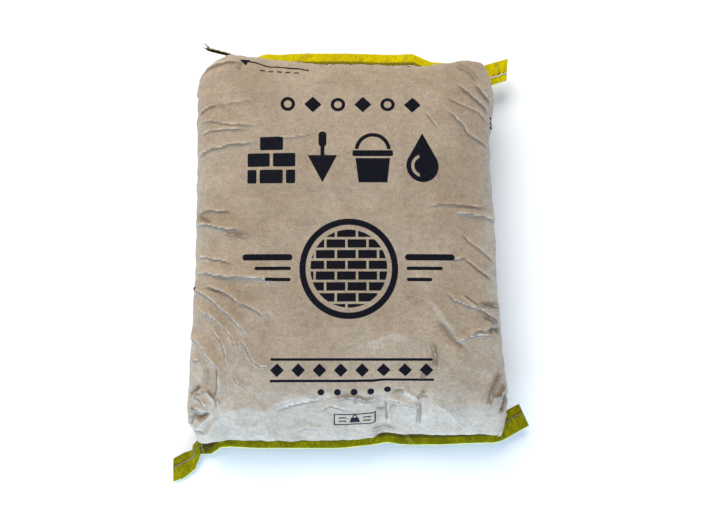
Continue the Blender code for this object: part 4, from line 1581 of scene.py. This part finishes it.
class StageSettings(bpy.types.PropertyGroup):
    floor: colour_setting("Floor", "Colour of the floor", (0.94, 0.94, 0.94))
    key_power: power_setting("Key light", "Power of the soft light behind the top end", 99.0)
    low_power: power_setting("Low light", "Power of the low daylight at the bottom end", 76.0)
    side_power: power_setting("Side lights", "Power of the low daylight at both sides", 32.0)


class MakePaperSack(bpy.types.Operator):
    """Builds the filled paper sack, with its folds and its print"""

    bl_idname = "cement_sack.paper_sack"
    bl_label = "Paper sack"

    def execute(self, context):
        settings = context.scene.cement_sack
        sack = make_sack()
        sack.data.materials.append(kraft_material(settings))
        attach(sack, "root")
        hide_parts("paper_sack")
        return {"FINISHED"}


class MakeTapes(bpy.types.Operator):
    """Builds the crepe tape folded over each sewn end"""

    bl_idname = "cement_sack.tapes"
    bl_label = "Crepe tapes"

    def execute(self, context):
        settings = context.scene.cement_tape
        # The bottom tape: a copy of the top tape's material, darkened with painted shade.
        painted_light_and_wear = crepe_material(
            settings, settings.bottom_light, settings.bottom_dark, settings.bottom_valley,
            BOTTOM_SHADE_AND_DIRT, BOTTOM_COVERED,
        )
        make_tape("bottom", BOTTOM, painted_light_and_wear)
        lit_and_clean = crepe_material(
            settings, settings.top_light, settings.top_dark, settings.top_valley, TOP_SHADE_AND_DIRT, TOP_COVERED
        )
        make_tape("top", TOP, lit_and_clean)
        return {"FINISHED"}


class MakeThreads(bpy.types.Operator):
    """Builds the chain-stitched thread along each tape"""

    bl_idname = "cement_sack.threads"
    bl_label = "Seam threads"

    def execute(self, context):
        settings = context.scene.cement_tape
        # The bottom thread: darker, with painted shade and dirt.
        painted_light_and_wear = thread_material(settings.shaded_dirty_thread_light, settings.shaded_dirty_thread_dark)
        make_thread("bottom", BOTTOM, painted_light_and_wear)
        lit_and_clean = thread_material(settings.thread_light, settings.thread_dark)
        make_thread("top", TOP, lit_and_clean)
        return {"FINISHED"}


FLOOR_SIZE = 24
FLOOR_DROP = 0.0002  # below the sack's underside
FLOOR_ROUGHNESS = 0.9
WORLD_COLOUR = (0.98, 0.99, 1.0, 1)
WORLD_STRENGTH = 0.38
KEY_PLACE = (-0.90, 1.80, 2.40)
KEY_AIM = (0, 0, 0)
KEY_SIZE = (2.7, 1.8)
KEY_COLOUR = (1.0, 0.97, 0.93)
LOW_PLACE = (-0.30, -1.65, 0.25)
LOW_AIM = (0, -0.2, 0.06)
LOW_SIZE = (2.0, 0.50)
SIDE_PLACE = (1.7, -0.15, 0.20)  # the right one; the left one mirrors it
SIDE_AIM = (0, 0, 0.06)
SIDE_SIZE = (1.8, 0.25)
SIDE_SHARES = ((-1, 0.18), (1, 0.7))  # of the side lights' power, by side
DAYLIGHT = (0.46, 0.69, 1.0)


def soft_light(name, place, aim, size, power, colour):
    """A rectangular soft light at a place, turned to its aim."""
    bpy.ops.object.light_add(type="AREA", location=place)
    lamp = bpy.context.object
    lamp.name = name
    lamp.rotation_euler = (Vector(aim) - Vector(place)).to_track_quat("-Z", "Y").to_euler()
    lamp.data.shape = "RECTANGLE"
    lamp.data.size, lamp.data.size_y = size
    lamp.data.energy = power
    lamp.data.color = colour
    lamp.visible_camera = False
    return lamp


class MakeStage(bpy.types.Operator):
    """Builds the pale floor, the soft lights and the camera"""

    bl_idname = "cement_sack.stage"
    bl_label = "Stage, lights and camera"

    def execute(self, context):
        settings = context.scene.cement_stage
        bpy.ops.mesh.primitive_plane_add(size=FLOOR_SIZE, location=(0, 0, -FLOOR_DROP))
        floor = context.object
        floor.name = "studio_floor"
        material, _, shader = new_material("Pale floor")
        shader.inputs["Base Color"].default_value = settings.floor
        shader.inputs["Roughness"].default_value = FLOOR_ROUGHNESS
        floor.data.materials.append(material)
        soft_light("key_light", KEY_PLACE, KEY_AIM, KEY_SIZE, settings.key_power, KEY_COLOUR)
        soft_light("low_light", LOW_PLACE, LOW_AIM, LOW_SIZE, settings.low_power, DAYLIGHT)
        for side, share in SIDE_SHARES:
            place = (side * SIDE_PLACE[0], *SIDE_PLACE[1:])
            power = settings.side_power * share
            soft_light(f"side_light_{share}", place, SIDE_AIM, SIDE_SIZE, power, DAYLIGHT)
        context.scene.view_settings.view_transform = "Standard"
        world = bpy.data.worlds.new("Soft studio")
        context.scene.world = world
        world.use_nodes = True
        background = world.node_tree.nodes["Background"]
        background.inputs["Color"].default_value = WORLD_COLOUR
        background.inputs["Strength"].default_value = WORLD_STRENGTH
        bpy.ops.object.camera_add(location=CAMERA_AIM + CAMERA_AWAY * CAMERA_DISTANCE)
        camera = context.object
        camera.rotation_euler = (-CAMERA_AWAY).to_track_quat("-Z", "Y").to_euler()
        camera.data.sensor_width = FILM_WIDTH_MM
        camera.data.lens = FOCAL_POINTS / FRAME_WIDTH * FILM_WIDTH_MM
        camera.data.shift_x = (FRAME_WIDTH / 2 - VIEW_CENTRE[0]) / FRAME_WIDTH
        camera.data.shift_y = (VIEW_CENTRE[1] - FRAME_HEIGHT / 2) / FRAME_WIDTH
        context.scene.camera = camera
        return {"FINISHED"}


class SackPanel(bpy.types.Panel):
    """Lists the parts of the sack in the sidebar"""

    bl_idname = "CEMENT_SACK_PT_parts"
    bl_label = "Cement sack"
    bl_space_type = "VIEW_3D"
    bl_region_type = "UI"
    bl_category = "Cement Sack"

    def draw(self, context):
        for operator in OPERATORS:
            self.layout.operator(operator.bl_idname)
        for group in (context.scene.cement_sack, context.scene.cement_tape, context.scene.cement_stage):
            for name in group.__annotations__:
                self.layout.prop(group, name)


OPERATORS = (MakePaperSack, MakeTapes, MakeThreads, MakeStage)
CLASSES = (SackSettings, TapeSettings, StageSettings, *OPERATORS, SackPanel)


def register():
    for cls in CLASSES:
        bpy.utils.register_class(cls)
    bpy.types.Scene.cement_sack = bpy.props.PointerProperty(type=SackSettings)
    bpy.types.Scene.cement_tape = bpy.props.PointerProperty(type=TapeSettings)
    bpy.types.Scene.cement_stage = bpy.props.PointerProperty(type=StageSettings)


def unregister():
    del bpy.types.Scene.cement_stage
    del bpy.types.Scene.cement_tape
    del bpy.types.Scene.cement_sack
    for cls in reversed(CLASSES):
        bpy.utils.unregister_class(cls)


def main():
    register()
    bpy.ops.cement_sack.paper_sack()
    bpy.ops.cement_sack.tapes()
    bpy.ops.cement_sack.threads()
    bpy.ops.cement_sack.stage()


if __name__ == "__main__":
    main()
